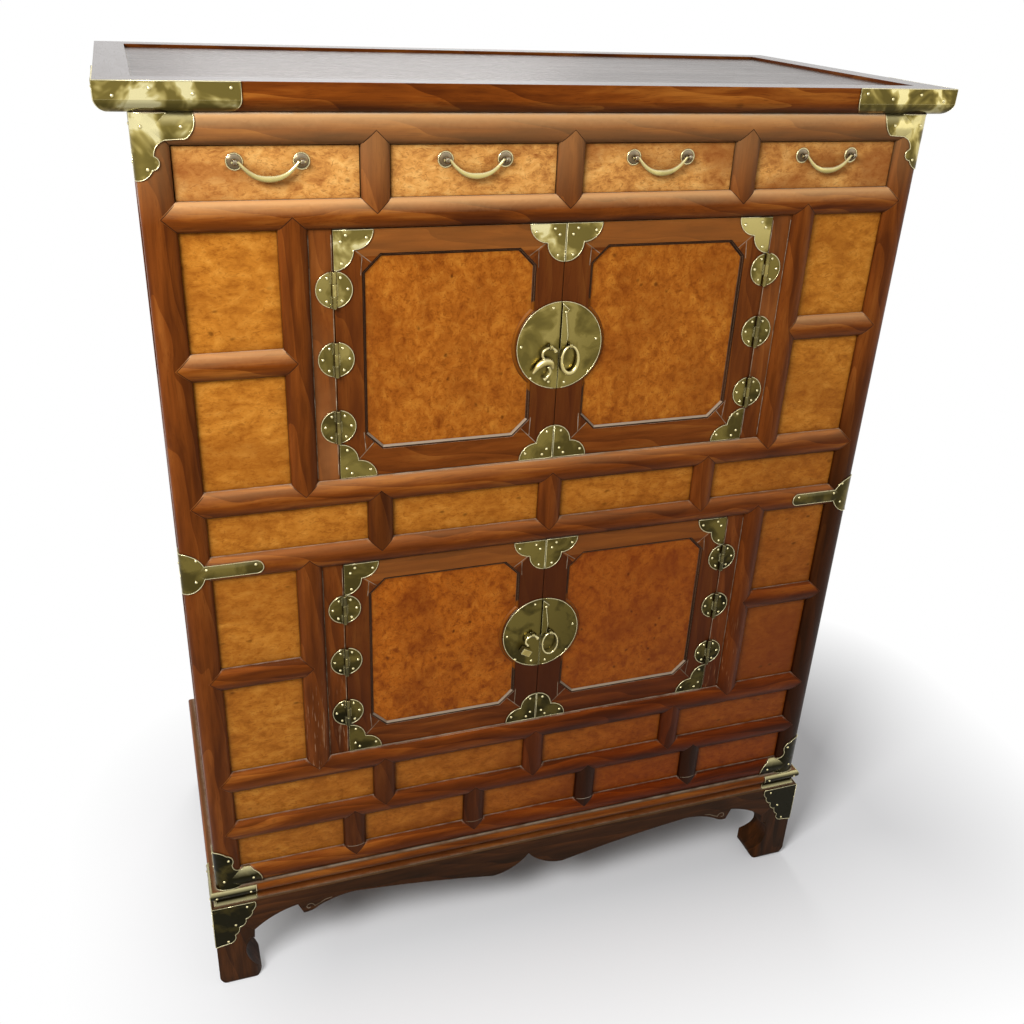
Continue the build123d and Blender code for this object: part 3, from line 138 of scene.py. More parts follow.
def mix(amount, below, above, how="MIX"):
    """Lay one colour over another."""
    return add("Mix", {0: amount, 6: below, 7: above}, data_type="RGBA", blend_type=how).outputs[2]


def either(share, usual, other):
    """The usual value, or the other where the share is 1."""
    return add("Mix", {0: share, 2: usual, 3: other}).outputs[0]


def remap(value, low, high, to_low=0.0, to_high=1.0):
    """Stretch a range of values on to another, clamped."""
    return add("MapRange", {0: value, 1: low, 2: high, 3: to_low, 4: to_high}).outputs[0]


def noise(place, size, detail=3.0, rough=0.55, twist=0.0):
    """Noise whose blobs are about size metres across."""
    scale = over(1.0, size) if isinstance(size, bpy.types.NodeSocket) else 1 / size
    values = {"Vector": place, "Scale": scale, "Detail": detail, "Roughness": rough, "Distortion": twist}
    return add("TexNoise", values).outputs[0]


def ramp(value, stops):
    """Colours along a value: (position, colour) pairs."""
    node = add("ValToRGB", {0: value})
    band = node.color_ramp.elements
    while len(band) < len(stops):
        band.new(0.5)
    for element, (position, color) in zip(band, stops):
        element.position = position
        element.color = color
    return node.outputs[0]


def split_of(vector):
    """The three coordinates of a vector."""
    return add("SeparateXYZ", {0: vector}).outputs


def joined(*values):
    """A vector of coordinates."""
    return add("CombineXYZ", dict(enumerate(values))).outputs[0]


def new_group(name, inputs, outputs):
    """An empty node group: its tree, inputs and outputs."""
    tree = bpy.data.node_groups.new(name, "ShaderNodeTree")
    number, vector = "NodeSocketFloat", "NodeSocketVector"
    for title, value in inputs.items():
        kind = vector if value is None else number
        socket = tree.interface.new_socket(title, in_out="INPUT", socket_type=kind)
        if kind == number:
            socket.default_value = value
    for title in outputs.split():
        kind = vector if title == "Normal" else number
        tree.interface.new_socket(title, in_out="OUTPUT", socket_type=kind)
    return tree, tree.nodes.new("NodeGroupInput").outputs, tree.nodes.new("NodeGroupOutput").inputs


def use_group(tree, group, **values):
    """Place a node group; its outputs are named in small letters."""
    outputs = add("Group", values, tree, node_tree=group).outputs
    return SimpleNamespace(**{socket.name.lower(): socket for socket in outputs})


print("helpers ready")

# %% [markdown]
# ## Shared effect: straight grain
# Grain is noise stretched along the board: broad flames for the colour, fine short lines for the
# pores. The group expects coordinates whose X runs along the board, so one group serves them all.

# %% Grain group
inputs = {"Coordinates": None, "Streak": 0.011, "Flame": 0.14}
grain, g_in, g_out = new_group("straight_grain", inputs, "Figure Pores Knots Height")
board = g_in[0]
sway = noise(scaled(board, (0.3, 1, 1)), 0.07, 2)
swayed = moved(board, joined(0.0, times(sway, 0.04), times(sway, 0.03)))
streaks = noise(scaled(swayed, (0.09, 1, 1)), g_in["Streak"], rough=0.5)
patches = noise(scaled(board, (0.35, 1, 1)), 0.13, 2)
waves = {"Scale": 24.0, "Distortion": 5.0, "Detail": 2.0, "Detail Scale": 0.8}
waves["Vector"] = scaled(swayed, (0.14, 1, 1))
flames = add("TexWave", waves, bands_direction="DIAGONAL", wave_profile="SAW").outputs[1]
figure = plus(times(streaks, 0.6), times(patches, 0.35))
figure = plus(figure, times(flames, g_in["Flame"]))
pores = remap(noise(scaled(swayed, (0.035, 1, 1)), 0.0012, 1), 0.56, 0.7)
spots = add("TexVoronoi", {"Vector": scaled(board, (0.7, 1, 1)), "Scale": 8.0}).outputs["Distance"]
wire(g_out, {"Figure": remap(figure, 0.4, 0.76), "Pores": pores})
wire(g_out, {"Knots": remap(spots, 0.045, 0.01), "Height": minus(figure, times(pores, 0.4))})
print("grain group nodes:", len(grain.nodes))

# %% [markdown]
# ## Shared effect: burl
# Burl is wood that grew in knots: a cloud of curling flecks with small dark eyes. Noise that is pushed
# about by a second noise curls like that; the eyes are the centres of some scattered cells.

# %% Burl group
inputs = {"Coordinates": None, "Curl": 0.01}
burl, b_in, b_out = new_group("burl_figure", inputs, "Cloud Flecks Eyes Stain Height")
push = add("TexNoise", {"Vector": b_in[0], "Scale": 34.0, "Detail": 3.0}).outputs["Color"]
centred = apart(push, (0.5, 0.5, 0.5))
pushed = add("VectorMath", {0: centred, "Scale": b_in["Curl"]}, operation="SCALE").outputs[0]
curled = moved(b_in[0], pushed)
cloud = noise(curled, 0.012, 5, 0.68, 0.4)
flecks = noise(scaled(curled, (0.8, 1, 1)), 0.0032, 3, 0.6, 1.2)
cells = add("TexVoronoi", {"Vector": curled, "Scale": 70.0}).outputs["Distance"]
keep = remap(noise(b_in[0], 0.04, 1), 0.54, 0.64)
eyes = times(remap(cells, 0.2, 0.08), keep)
stain = noise(curled, 0.07, 3, 0.55, 0.6)
wire(b_out, {"Cloud": remap(cloud, 0.26, 0.74), "Flecks": remap(flecks, 0.52, 0.66), "Eyes": eyes})
wire(b_out, {"Stain": remap(stain, 0.46, 0.7), "Height": minus(flecks, eyes)})
print("burl group nodes:", len(burl.nodes))

# %% [markdown]
# ## Shared effect: edges, dust and painted shade
# Old furniture is rubbed bright on its edges, with pale dust in the corners that face up. The corners
# also get painted shade, and the way a surface faces up is passed on for painted light. A bevel node
# rounds the normal near an edge, so comparing it with the true normal finds edges; ambient occlusion
# finds corners. The rounded normal also softens the razor-sharp solids.

# %% Edges, dust and painted shade group
inputs = {"Round": 0.0012, "Reach": 0.012}
age_and_shade, a_in, a_out = new_group("edges_and_shade", inputs, "Edge Crevice Dust Upward Side Height Normal")
soft = add("Bevel", {"Radius": a_in["Round"]}, samples=2).outputs[0]
true = add("NewGeometry", tree=age_and_shade).outputs["Normal"]
near_and_far = [add("AmbientOcclusion", {"Distance": far}, age_and_shade, samples=3) for far in (0.004, a_in["Reach"])]
tight, wide = (node.outputs["AO"] for node in near_and_far)
# Corners found by occlusion get painted shade.
crevice = remap(wide, 0.85, 0.4)
edge = times(remap(product(soft, true), 0.998, 0.93), minus(1.0, crevice))
facing = split_of(true)[2]
place = add("TexCoord", tree=age_and_shade).outputs["Object"]
lint = remap(noise(place, 0.02, 3), 0.35, 0.6, 0.3, 1.0)
settled = times(remap(tight, 0.85, 0.55), remap(facing, 0.25, 0.7))
wire(a_out, {"Edge": edge, "Crevice": crevice, "Dust": times(settled, lint), "Upward": facing})
wire(a_out, {"Side": split_of(place)[0], "Height": split_of(place)[2], "Normal": soft})
print("age group nodes:", len(age_and_shade.nodes))

# %% [markdown]
# ## Which way the grain runs
# Coordinates come from the object, so the figure stays on a door when the door swings. For a board
# along Y or Z two axes change places. A frame with mitred corners holds boards of both directions: its
# mitre is where the distances to the two outer edges are equal, so comparing them picks the direction.

# %% Coordinates along the board
ORDER = {"x": (0, 1, 2), "y": (1, 0, 2), "z": (2, 1, 0)}


def axes_of(tree):
    """Object coordinates, whole and split."""
    whole = add("TexCoord", tree=tree).outputs["Object"]
    return whole, split_of(whole)


def along(tree, axis):
    """Coordinates whose X runs along the given axis."""
    _, split = axes_of(tree)
    return joined(*(split[index] for index in ORDER[axis]))


def near_ends(tree, ends, sides, box):
    """1 on the boards that close a mitred frame at the ends of one axis, else 0."""
    _, split = axes_of(tree)
    distance = []
    for name in (ends, sides):
        index = "xyz".index(name)
        middle, half = (box[0][index] + box[1][index]) / 2, (box[1][index] - box[0][index]) / 2
        distance.append(minus(half, absolute(minus(split[index], middle))))
    return less(*distance)


def grain_by(tree, share, first, second):
    """Grain along the first axis, or the second where the share is 1."""
    values = {0: share, 4: along(tree, first), 5: along(tree, second)}
    return add("Mix", values, data_type="VECTOR").outputs[1]


def mitre(ends, sides, box):
    """A function that lays the grain along each board of a mitred frame."""
    return lambda tree: grain_by(tree, near_ends(tree, ends, sides, box), ends, sides)


print("grain directions:", sorted(ORDER))

# %% [markdown]
# ## Framework wood
# A reddish-brown hardwood, oiled and rubbed until it shines. Each kind has a dark, a middle and a light
# tone. What all woods share comes last: dust, painted shade that deepens towards the floor, painted
# light on faces turned up and painted shade on faces turned down, gloss and bump.

# %% Framework wood
def new_material(name):
    """A material with only a Principled shader."""
    material = bpy.data.materials.new(name)
    material.use_nodes = True
    return material, material.node_tree, material.node_tree.nodes["Principled BSDF"]


def tone(color, factor):
    """A linear colour made darker or lighter."""
    return (*(min(channel * factor, 1) for channel in color[:3]), 1.0)


WOODS = {
    "rail": [(78, 32, 7), (124, 61, 15), (166, 98, 34)],
    "post": [(82, 37, 10), (116, 58, 17), (142, 80, 30)],
    "door": [(88, 41, 12), (124, 64, 20), (150, 88, 32)],
    "base": [(32, 16, 5), (62, 32, 11), (92, 50, 19)],
    "dust": [(104, 84, 64), (158, 140, 116), (204, 190, 168)],
    "top": [(34, 24, 20), (54, 40, 33), (76, 58, 48)],
    "bead": [(30, 17, 11), (52, 30, 19), (78, 47, 31)],
    "plain": [(140, 102, 64), (168, 127, 83), (186, 147, 101)],
    "side": [(60, 31, 15), (82, 45, 22), (104, 60, 31)],
}
FLAME = {"plain": 0.02, "side": 0.05, "top": 0.05}
# Roughness, specular level and clear coat.
OILED, BURL_GLOSS = (0.34, 0.13, 0.0), (0.34, 0.14, 0.0)
GLOSS = {
    "base": (0.4, 0.12, 0.0),
    "top": (0.22, 0.36, 0.0),
    "plain": (0.65, 0.25, 0.0),
    "side": (0.34, 0.2, 0.0),
}


def coated(shader, color, rough, strength, distance, height, normal):
    """Connect colour, roughness and bump."""
    values = {"Strength": strength, "Distance": distance, "Height": height, "Normal": normal}
    wire(shader.inputs, {"Base Color": color, "Roughness": rough, "Normal": add("Bump", values).outputs[0]})


def finish_wood(shader, color, height, gloss, wear_and_light):
    """Dust, painted shade towards the floor, painted light and shade by facing, gloss and bump."""
    color = mix(times(wear_and_light.dust, 0.75), color, screen(176, 160, 138))
    # Painted shade deepens towards the floor; faces turned up get painted light, faces turned down painted
    # shade.
    painted_low_shade = remap(wear_and_light.height, 0.1, 1.0, 0.68, 1.0)
    wear_and_facing_light = remap(wear_and_light.upward, -0.7, 0.7, 0.45, 1.4)
    color = mix(1.0, color, times(painted_low_shade, wear_and_facing_light), "MULTIPLY")
    rough, level, coat = gloss
    tint = (1.0, 0.56, 0.24, 1.0) if level < 0.4 else (1, 1, 1, 1)
    wire(shader.inputs, {"Specular IOR Level": level, "Specular Tint": tint})
    wire(shader.inputs, {"Coat Weight": coat, "Coat Roughness": 0.15})
    roughness = remap(height, 0.2, 0.8, rough + 0.1, rough - 0.04)
    coated(shader, color, roughness, 0.2, 0.0005, height, wear_and_light.normal)


print("kinds of wood:", len(WOODS))

# %% [markdown]
# ## Signs of use and painted light
# Each of these small functions lays one more tint over a wood's colour, where its own mask says so.
# The masks come from the side, the height and the way a surface faces. Some are wear and colour,
# others painted highlights and painted shade.

# %% Signs of use and painted light
STRIP_EDGE, RIGHT_POST, LOWEST_RAIL = 0.3015, 0.43, 0.286


def painted_crown_highlight(wear_and_light, place, color):
    """Painted highlight: high rails are paler along the crown."""
    crown = times(remap(wear_and_light.upward, 0.0, 0.55), remap(wear_and_light.height, 0.62, 1.15, 0.03, 0.75))
    return mix(crown, color, screen(190, 146, 98))


def scratched(wear_and_light, place, color):
    """Pale scratches along the grain, low beside the doors."""
    lines = remap(noise(scaled(place, (0.08, 1, 1)), 0.0022, 2), 0.6, 0.7)
    zone = times(remap(wear_and_light.height, 0.56, 0.44), lines)
    return mix(times(zone, 0.5), color, screen(196, 160, 122))


def painted_ledge_highlight(wear_and_light, place, color):
    """Painted highlight: flat tops that face up are paler."""
    return mix(remap(wear_and_light.upward, 0.8, 0.95, 0.0, 0.4), color, screen(128, 98, 68))


def dusty_bead(wear_and_light, place, color):
    """A bead catches dust along its top, and its edges are pale."""
    color = mix(times(wear_and_light.edge, 0.55), color, screen(158, 132, 104))
    return mix(remap(wear_and_light.upward, 0.2, 0.6, 0.0, 0.7), color, screen(158, 142, 122))


def polished_field(wear_and_light, place, color):
    """The upper faces are as dark as the field."""
    return mix(remap(wear_and_light.upward, 0.9, 0.98), color, screen(54, 40, 33))


def worn_strips(wear_and_light, place, color):
    """The strips beside the upper hinges are rubbed pale at their foot."""
    left = remap(wear_and_light.height, 0.82, 1.02, 0.55, 0.12)
    right = remap(wear_and_light.height, 0.84, 0.95, 0.0, 0.2)
    wear_and_facing_light = either(less(wear_and_light.side, 0.0), right, left)
    strip = times(less(absolute(wear_and_light.side), STRIP_EDGE), more(wear_and_light.height, 0.78))
    patchy = remap(noise(place, 0.06, 3), 0.35, 0.6, 0.35, 1.0)
    return mix(times(times(strip, wear_and_facing_light), patchy), color, screen(178, 116, 66))


def painted_front_shade(wear_and_light, place, color):
    """Painted shade: the front is darker and redder at its lower right; a painted highlight makes it paler at
    its head.
    """
    low = remap(wear_and_light.height, 0.2, 0.95, 1.0, 0.0)
    share = times(low, remap(wear_and_light.side, -0.4, 0.15, 0.15, 1.0))
    color = mix(1.0, color, mix(share, (1, 1, 1, 1), (0.52, 0.24, 0.06, 1)), "MULTIPLY")
    return mix(remap(wear_and_light.height, 1.12, 1.2, 0.0, 0.25), color, screen(190, 148, 98))


def shaded_post(wear_and_light, place, color):
    """The right-hand post is nearly black in its lower half."""
    shade = either(more(wear_and_light.side, RIGHT_POST), 1.0, remap(wear_and_light.height, 0.72, 0.92, 0.28, 1.0))
    return mix(1.0, color, shade, "MULTIPLY")


def uneven_dividers(wear_and_light, place, color):
    """The short dividers of the lower rows are darker: those on the left, and in the lowest row most of all
    those on the right.
    """
    upper_row = remap(wear_and_light.side, -0.15, -0.05, 0.65, 1.0)
    lowest_row = remap(wear_and_light.side, -0.05, 0.05, 0.6, 0.25)
    shade = either(less(wear_and_light.height, LOWEST_RAIL), upper_row, lowest_row)
    return mix(1.0, color, larger(shade, more(wear_and_light.height, 0.9)), "MULTIPLY")


print("signs of use ready")

# %% [markdown]
# ## Painting the framework
# One recipe makes every straight-grained wood: its colour, pores, knots, painted shade in the corners,
# rubbed edges, and then its signs of use and painted light. A table says which boards get which wood.

# %% Paint the framework
WIDE = (0.3, 0.8, 0.8)


def grained_wood(name, kind, run, extras=(), wide=False):
    """Straight-grained wood; run is an axis, or a function of the node tree."""
    material, tree, shader = new_material(name)
    place = along(tree, run) if isinstance(run, str) else run(tree)
    place = scaled(place, WIDE) if wide else place
    board = use_group(tree, grain, Coordinates=place, Flame=FLAME.get(kind, 0.14))
    wear_and_light = use_group(tree, age_and_shade, Reach=0.018)
    dark, middle, light = [screen(*color) for color in WOODS[kind]]
    color = ramp(board.figure, [(0.0, dark), (0.5, middle), (1.0, light)])
    color = mix(times(board.pores, 0.4), color, dark)
    color = mix(times(board.knots, 0.7), color, tone(dark, 0.5))
    # Painted shade in the corners.
    color = mix(times(wear_and_light.crevice, 0.8), color, tone(dark, 0.3))
    color = mix(times(wear_and_light.edge, 0.4), color, tone(light, 1.5))
    for extra in extras:
        color = extra(wear_and_light, place, color)
    finish_wood(shader, color, board.height, GLOSS.get(kind, OILED), wear_and_light)
    return material


def paint(names, material):
    """Give one material to several nodes."""
    for name in names.split():
        data = nodes[name].data
        data.materials.clear()
        data.materials.append(material)


RAILS = "rails_drawer_row rail_upper_sill rail_waist rail_lower_sill rails_base short_rails"
around_base = mitre("x", "y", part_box("base_moulding"))
FRAMEWORK = [
    (RAILS, "frame_wood_x", "rail", "x", [painted_crown_highlight, painted_front_shade]),
    ("post_front_left post_front_right", "frame_wood_z", "post", "z", [painted_front_shade, shaded_post]),
    ("posts_rear", "rear_post_wood", "post", "z", []),
    ("row_dividers", "divider_wood", "post", "z", [painted_front_shade, uneven_dividers]),
    ("inner_stiles", "stile_wood", "post", "z", [scratched, worn_strips, painted_front_shade]),
    ("side_rails", "frame_wood_y", "post", "y", []),
    ("legs", "leg_wood", "base", "z", []),
    ("apron_front", "apron_wood", "base", "x", [painted_ledge_highlight]),
    ("base_moulding", "moulding_wood", "door", around_base, [painted_ledge_highlight]),
    ("aprons_side_rear", "rear_apron_wood", "base", around_base, []),
]
for painted, name, kind, run, extras in FRAMEWORK:
    paint(painted, grained_wood(name, kind, run, extras))
print("framework painted")

# %% [markdown]
# ## Top, sides, back and inside
# The field of the top board is the darkest and glossiest wood. Sides are plain stained boards with
# upright grain. The back, the floors and the runners are bare pale wood.

# %% Top, sides and inside
around_top = mitre("x", "y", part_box("top_frame"))
top_wood = grained_wood("top_edge_wood", "rail", around_top, [polished_field])
paint("top_frame", top_wood)
lacquer = top_wood.node_tree
upper_face = remap(use_group(lacquer, age_and_shade).upward, 0.9, 0.98, 0.0, 0.6)
wire(lacquer.nodes["Principled BSDF"].inputs, {"Coat Weight": upper_face})
BACK_RAILS = [(0.186, 0.218), (0.775, 0.809), (1.198, 1.23)]
HALF_UPRIGHT = 0.017


def back_grain(tree):
    """Along the rails of the back, and upright on the pieces between them."""
    _, split = axes_of(tree)
    upright = less(absolute(split[0]), HALF_UPRIGHT)
    for low, high in BACK_RAILS:
        in_rail = times(more(split[2], low), less(split[2], high))
        upright = times(upright, minus(1.0, in_rail))
    return grain_by(tree, upright, "x", "z")


PLAIN_BOARDS = [
    ("top_panel", "top_field_wood", "top", "x", False),
    ("side_panels", "side_wood", "side", "z", True),
    ("back_panels", "bare_wood_z", "plain", "z", True),
    ("back_frame", "back_frame_wood", "plain", back_grain, False),
    ("floors door_stops", "bare_wood_x", "plain", "x", True),
    ("drawer_guides", "bare_wood_y", "plain", "y", False),
]
for painted, name, kind, run, wide in PLAIN_BOARDS:
    paint(painted, grained_wood(name, kind, run, wide=wide))
print("carcass painted")

# %% [markdown]
# ## Burl panels
# Golden burl for the rows and side bays, paler for the drawers, redder for the doors. It is a thin
# veneer, so only the front few millimetres carry it; behind them the same mesh is bare wood.

# %% Burl
BURLS = {
    "row": [(146, 80, 20), (190, 119, 38), (214, 146, 58)],
    "drawer": [(150, 84, 36), (220, 156, 80), (242, 190, 112)],
    "door_upper": [(122, 56, 12), (174, 99, 28), (200, 128, 44)],
    "door_lower": [(112, 44, 8), (176, 94, 22), (200, 120, 38)],
}


STAINED = {"row": 0.5, "drawer": 0.75, "door_upper": 0.6, "door_lower": 0.65}
VENEER = 6 * MM


def burl_wood(name, kind, front, bare_grain):
    """Burl veneer on the front of a node, and bare wood behind it."""
    material, tree, shader = new_material(name)
    place, split = axes_of(tree)
    squeeze = (1, 1, 0.85) if kind.startswith("door") else (0.6, 1, 1)
    pattern = use_group(tree, burl, Coordinates=scaled(place, squeeze))
    wear_and_light = use_group(tree, age_and_shade, Reach=0.02)
    deep, middle, pale = [screen(*color) for color in BURLS[kind]]
    color = ramp(pattern.cloud, [(0.0, deep), (0.5, middle), (1.0, pale)])
    color = mix(times(pattern.flecks, 0.55), color, tone(deep, 0.85))
    color = mix(times(pattern.stain, STAINED[kind]), color, deep)
    # Painted shade: the rows turn darker and redder towards the lower right.
    if kind == "row":
        painted_right_shade = times(remap(wear_and_light.side, 0.1, 0.42), remap(wear_and_light.height, 0.75, 0.45, 0.0, 0.7))
        painted_right_shade = times(painted_right_shade, remap(wear_and_light.height, 0.3, 0.42))
        color = painted_front_shade(wear_and_light, place, mix(painted_right_shade, color, screen(140, 66, 14)))
    # Painted shade on the right-hand lower door panel.
    if kind == "door_lower":
        color = mix(remap(wear_and_light.side, -0.02, 0.02, 0.0, 0.4), color, screen(126, 50, 10))
    color = mix(times(pattern.eyes, 0.7), color, tone(deep, 0.35))
    # Painted shade in the corners.
    color = mix(times(wear_and_light.crevice, 0.8), color, tone(deep, 0.25))
    color = mix(times(wear_and_light.edge, 0.3), color, screen(90, 48, 22))
    bare_place = scaled(along(tree, bare_grain), WIDE)
    board = use_group(tree, grain, Coordinates=bare_place, Flame=FLAME["plain"])
    bare = ramp(board.figure, [(0.0, screen(120, 84, 50)), (1.0, screen(186, 146, 100))])
    color = mix(more(split[1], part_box(front)[0].y + VENEER), color, bare)
    finish_wood(shader, color, pattern.height, BURL_GLOSS, wear_and_light)
    return material


paint("bay_panels row_panels", burl_wood("row_burl", "row", "bay_panels", "x"))
paint("drawer_1 drawer_2 drawer_3 drawer_4", burl_wood("drawer_burl", "drawer", "drawer_1", "y"))
for tier in TIERS:
    veneer = burl_wood(f"{tier}_door_burl", f"door_{tier}", f"door_{tier}_left_panel", "z")
    paint(f"door_{tier}_left_panel door_{tier}_right_panel", veneer)
print("burl painted")

# %% [markdown]
# ## Door frames and beads
# Each door is four mitred boards, so its material needs that door's own box to find the mitres. The
# bead that holds the panel is stained nearly black.

# %% Doors
for door, *_ in DOORS:
    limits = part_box(f"{door}_frame")

    def painted_stile_shade(wear_and_light, place, color):
        """Painted shade on the uprights of a door, deepest low down and near the lock; its head rail is
        paler.
        """
        upright = near_ends(place.id_data, "x", "z", limits)
        share = remap(wear_and_light.height, 0.4, 1.1, 0.62, 0.28)
        share = plus(share, remap(absolute(wear_and_light.side), 0.06, 0.04, 0.0, 0.28))
        color = mix(times(upright, share), color, screen(70, 30, 12))
        head = times(more(wear_and_light.height, limits[1].z - 0.03), minus(0.25, times(upright, 0.25)))
        return mix(head, color, screen(178, 118, 60))

    extras = [painted_stile_shade, painted_front_shade]
    paint(f"{door}_frame", grained_wood(f"{door}_frame_wood", "door", mitre("x", "z", limits), extras))
LOCK_RISE = 151.5
for tier, (low, _) in TIERS.items():

    def round_the_lock(wear_and_light, place, color):
        """Beside the lock plate the bead is the panel's own edge."""
        distance = length(joined(wear_and_light.side, minus(wear_and_light.height, (low + LOCK_RISE) * MM)))
        near = remap(distance, 0.068, 0.066)
        return mix(near, color, tone(screen(*BURLS[f"door_{tier}"][1]), 0.45))

    bead_wood = grained_wood(f"{tier}_bead_wood", "bead", "z", [dusty_bead, round_the_lock])
    paint(f"door_{tier}_left_bead door_{tier}_right_bead", bead_wood)
dark_wood = grained_wood("seam_wood", "bead", "z")
print("doors painted")

# %% [markdown]
# ## Brass
# The fittings are cut from brass sheet, olive and dull where it has tarnished. Their colour follows the
# height and darkens towards the right, a painted reflection of a dark room, broken up by tarnish
# blotches. Faces turned down get painted shade, faces turned up and edges a painted highlight over
# metal rubbed bright. Soft waves in the bump show that the sheet was beaten flat.

# %% Brass
inputs = {"Coordinates": None, "Blotch": 0.035}
sheet_age, s_in, s_out = new_group("sheet_metal", inputs, "Tarnish Height")
blotch = noise(s_in[0], s_in["Blotch"], twist=0.4)
scratches = remap(noise(scaled(s_in[0], (1, 1, 0.06)), 0.0007, 2), 0.62, 0.75)
beaten = noise(s_in[0], 0.016, 1)
wire(s_out, {"Tarnish": remap(blotch, 0.42, 0.58), "Height": minus(beaten, times(scratches, 0.03))})
BRASS_TONES = [
    (0.05, (30, 27, 12)), (0.22, (62, 54, 25)), (0.37, (84, 73, 34)), (0.66, (126, 111, 55)),
    (0.77, (160, 143, 80)), (0.88, (196, 179, 110)), (1.0, (244, 232, 174)),
]


def sheet_metal(name, edge_color, gloss=0.22, tones=None, polish=0.0, relief=0.12):
    """Beaten sheet metal, by default with the tones of the fittings, under painted reflection, shade and
    highlights.
    """
    material, tree, shader = new_material(name)
    state = use_group(tree, sheet_age, Coordinates=axes_of(tree)[0])
    wear_and_light = use_group(tree, age_and_shade, Round=0.0011, Reach=0.005)
    swing = remap(wear_and_light.height, 1.05, 1.2, 0.26, 0.5)
    # A painted reflection sets the level: it falls low down and towards the right, steps up near the upper
    # doors and down at the very top, and the tarnish blotches break it up.
    level = plus(times(wear_and_light.height, 0.69), times(minus(0.5, state.tarnish), swing))
    level = plus(level, polish)
    level = minus(level, remap(wear_and_light.side, -0.025, 0.04, 0.0, 0.08))
    level = minus(level, remap(wear_and_light.side, 0.1, 0.45, 0.0, 0.06))
    level = plus(level, remap(wear_and_light.height, 1.02, 1.09, 0.0, 0.08))
    level = minus(level, remap(wear_and_light.height, 1.14, 1.17, 0.0, 0.08))
    stops = [(at, screen(*color)) for at, color in (tones or BRASS_TONES)]
    color = ramp(level, stops)
    # Painted shade on faces turned down, and a painted highlight on faces turned up.
    color = mix(remap(wear_and_light.upward, 0.05, -0.45, 0.0, 0.6), color, tone(stops[0][1], 0.8))
    color = mix(remap(wear_and_light.upward, 0.1, 0.6, 0.0, 0.5), color, screen(*edge_color))
    # Tarnish and painted shade in the hollows and round the nails.
    color = mix(times(wear_and_light.crevice, 0.75), color, screen(34, 28, 12))
    # A painted highlight along the edges, over metal rubbed bright.
    color = mix(wear_and_light.edge, color, screen(*edge_color))
    rough = remap(state.tarnish, 0.0, 1.0, gloss, gloss + 0.18)
    coated(shader, color, rough, relief, 0.001, state.height, wear_and_light.normal)
    wire(shader.inputs, {"Metallic": 1.0})
    return material


# Colours of the painted highlight on edges and on faces turned up.
EDGE = (226, 214, 158)
BRIGHT = (250, 240, 196)
RIM_TONES = [(0.0, (150, 134, 80)), (0.9, (236, 222, 164))]
CAST_TONES = [(0.0, (120, 102, 48)), (0.9, (222, 204, 130))]
NICKEL_TONES = [(0.0, (74, 60, 42)), (0.9, (132, 112, 82))]
NAIL_TONES = [(0.0, (206, 190, 122)), (0.9, (232, 218, 158))]
brass = sheet_metal("brass_sheet", EDGE, polish=-0.03)
hinge_brass = sheet_metal("brass_hinges", EDGE, polish=-0.14)
rim_brass = sheet_metal("brass_rims", BRIGHT, 0.2, RIM_TONES, relief=0.0)
cast_brass = sheet_metal("brass_cast", BRIGHT, 0.18, CAST_TONES, relief=0.06)
nickel = sheet_metal("nickel", (226, 214, 186), 0.2, NICKEL_TONES)
nail_brass = sheet_metal("brass_nails", BRIGHT, 0.16, NAIL_TONES, relief=0.0)
paint("corner_brass", brass)
paint("hinge_leaves", hinge_brass)
for tier in TIERS:
    paint(f"door_{tier}_left_brass door_{tier}_right_brass", brass)
    paint(f"ring_pull_{tier} drop_pull_{tier}", cast_brass)
for number in range(1, 5):
    paint(f"drawer_{number}_bail", cast_brass)
    paint(f"drawer_{number}_rosettes", nickel)
print("metal painted")

# %% [markdown]
# ## Round-headed nails
# Each nail is dropped on to the metal by casting a ray at the solids, so it sits square on flat plates
# and tilts with the rounded ones. All nails of one body are joined in a single mesh.

# %% Nail helpers
def tree_of(names):
    """The surfaces of some nodes, for casting rays."""
    verts, faces = [], []
    for name in names:
        mesh = nodes[name].data
        start = len(verts)
        verts.extend(vertex.co.copy() for vertex in mesh.vertices)
        faces.extend([start + index for index in polygon.vertices] for polygon in mesh.polygons)
    return BVHTree.FromPolygons(verts, faces)


def circle(count, phase=0.0):
    """Cosine and sine of evenly spaced angles."""
    angles = [2 * math.pi * step / count + phase for step in range(count)]
    return [(math.cos(angle), math.sin(angle)) for angle in angles]


def skin(mesh, rings, closed=False):
    """Join rings of vertices with faces."""
    pairs = list(zip(rings, rings[1:])) + ([(rings[-1], rings[0])] if closed else [])
    for below, above in pairs:
        for step, vert in enumerate(below):
            after = (step + 1) % len(below)
            mesh.faces.new((vert, below[after], above[after], above[step]))


# Share of the radius and height of each ring of a nail's head.
DOME = [(1.0, 0.0), (0.95, 0.28), (0.72, 0.55), (0.36, 0.72)]
DOME_TIP, DOME_SIDES = 0.78, 12
NAIL, SUNK = 1.9 * MM, 0.1 * MM


def dome(mesh, spot, normal):
    """Add one domed nail head to a bmesh."""
    turned = normal.to_track_quat("Z", "Y").to_matrix().to_4x4()
    place = Matrix.Translation(spot - normal * SUNK) @ turned @ Matrix.Scale(NAIL, 4)
    rings = []
    for share, rise in DOME:
        points = [Vector((share * x, share * y, rise)) for x, y in circle(DOME_SIDES)]
        rings.append([mesh.verts.new(place @ point) for point in points])
    skin(mesh, rings)
    tip = mesh.verts.new(place @ Vector((0, 0, DOME_TIP)))
    for step, vert in enumerate(rings[-1]):
        mesh.faces.new((vert, rings[-1][(step + 1) % DOME_SIDES], tip))
    mesh.faces.new(list(reversed(rings[0])))


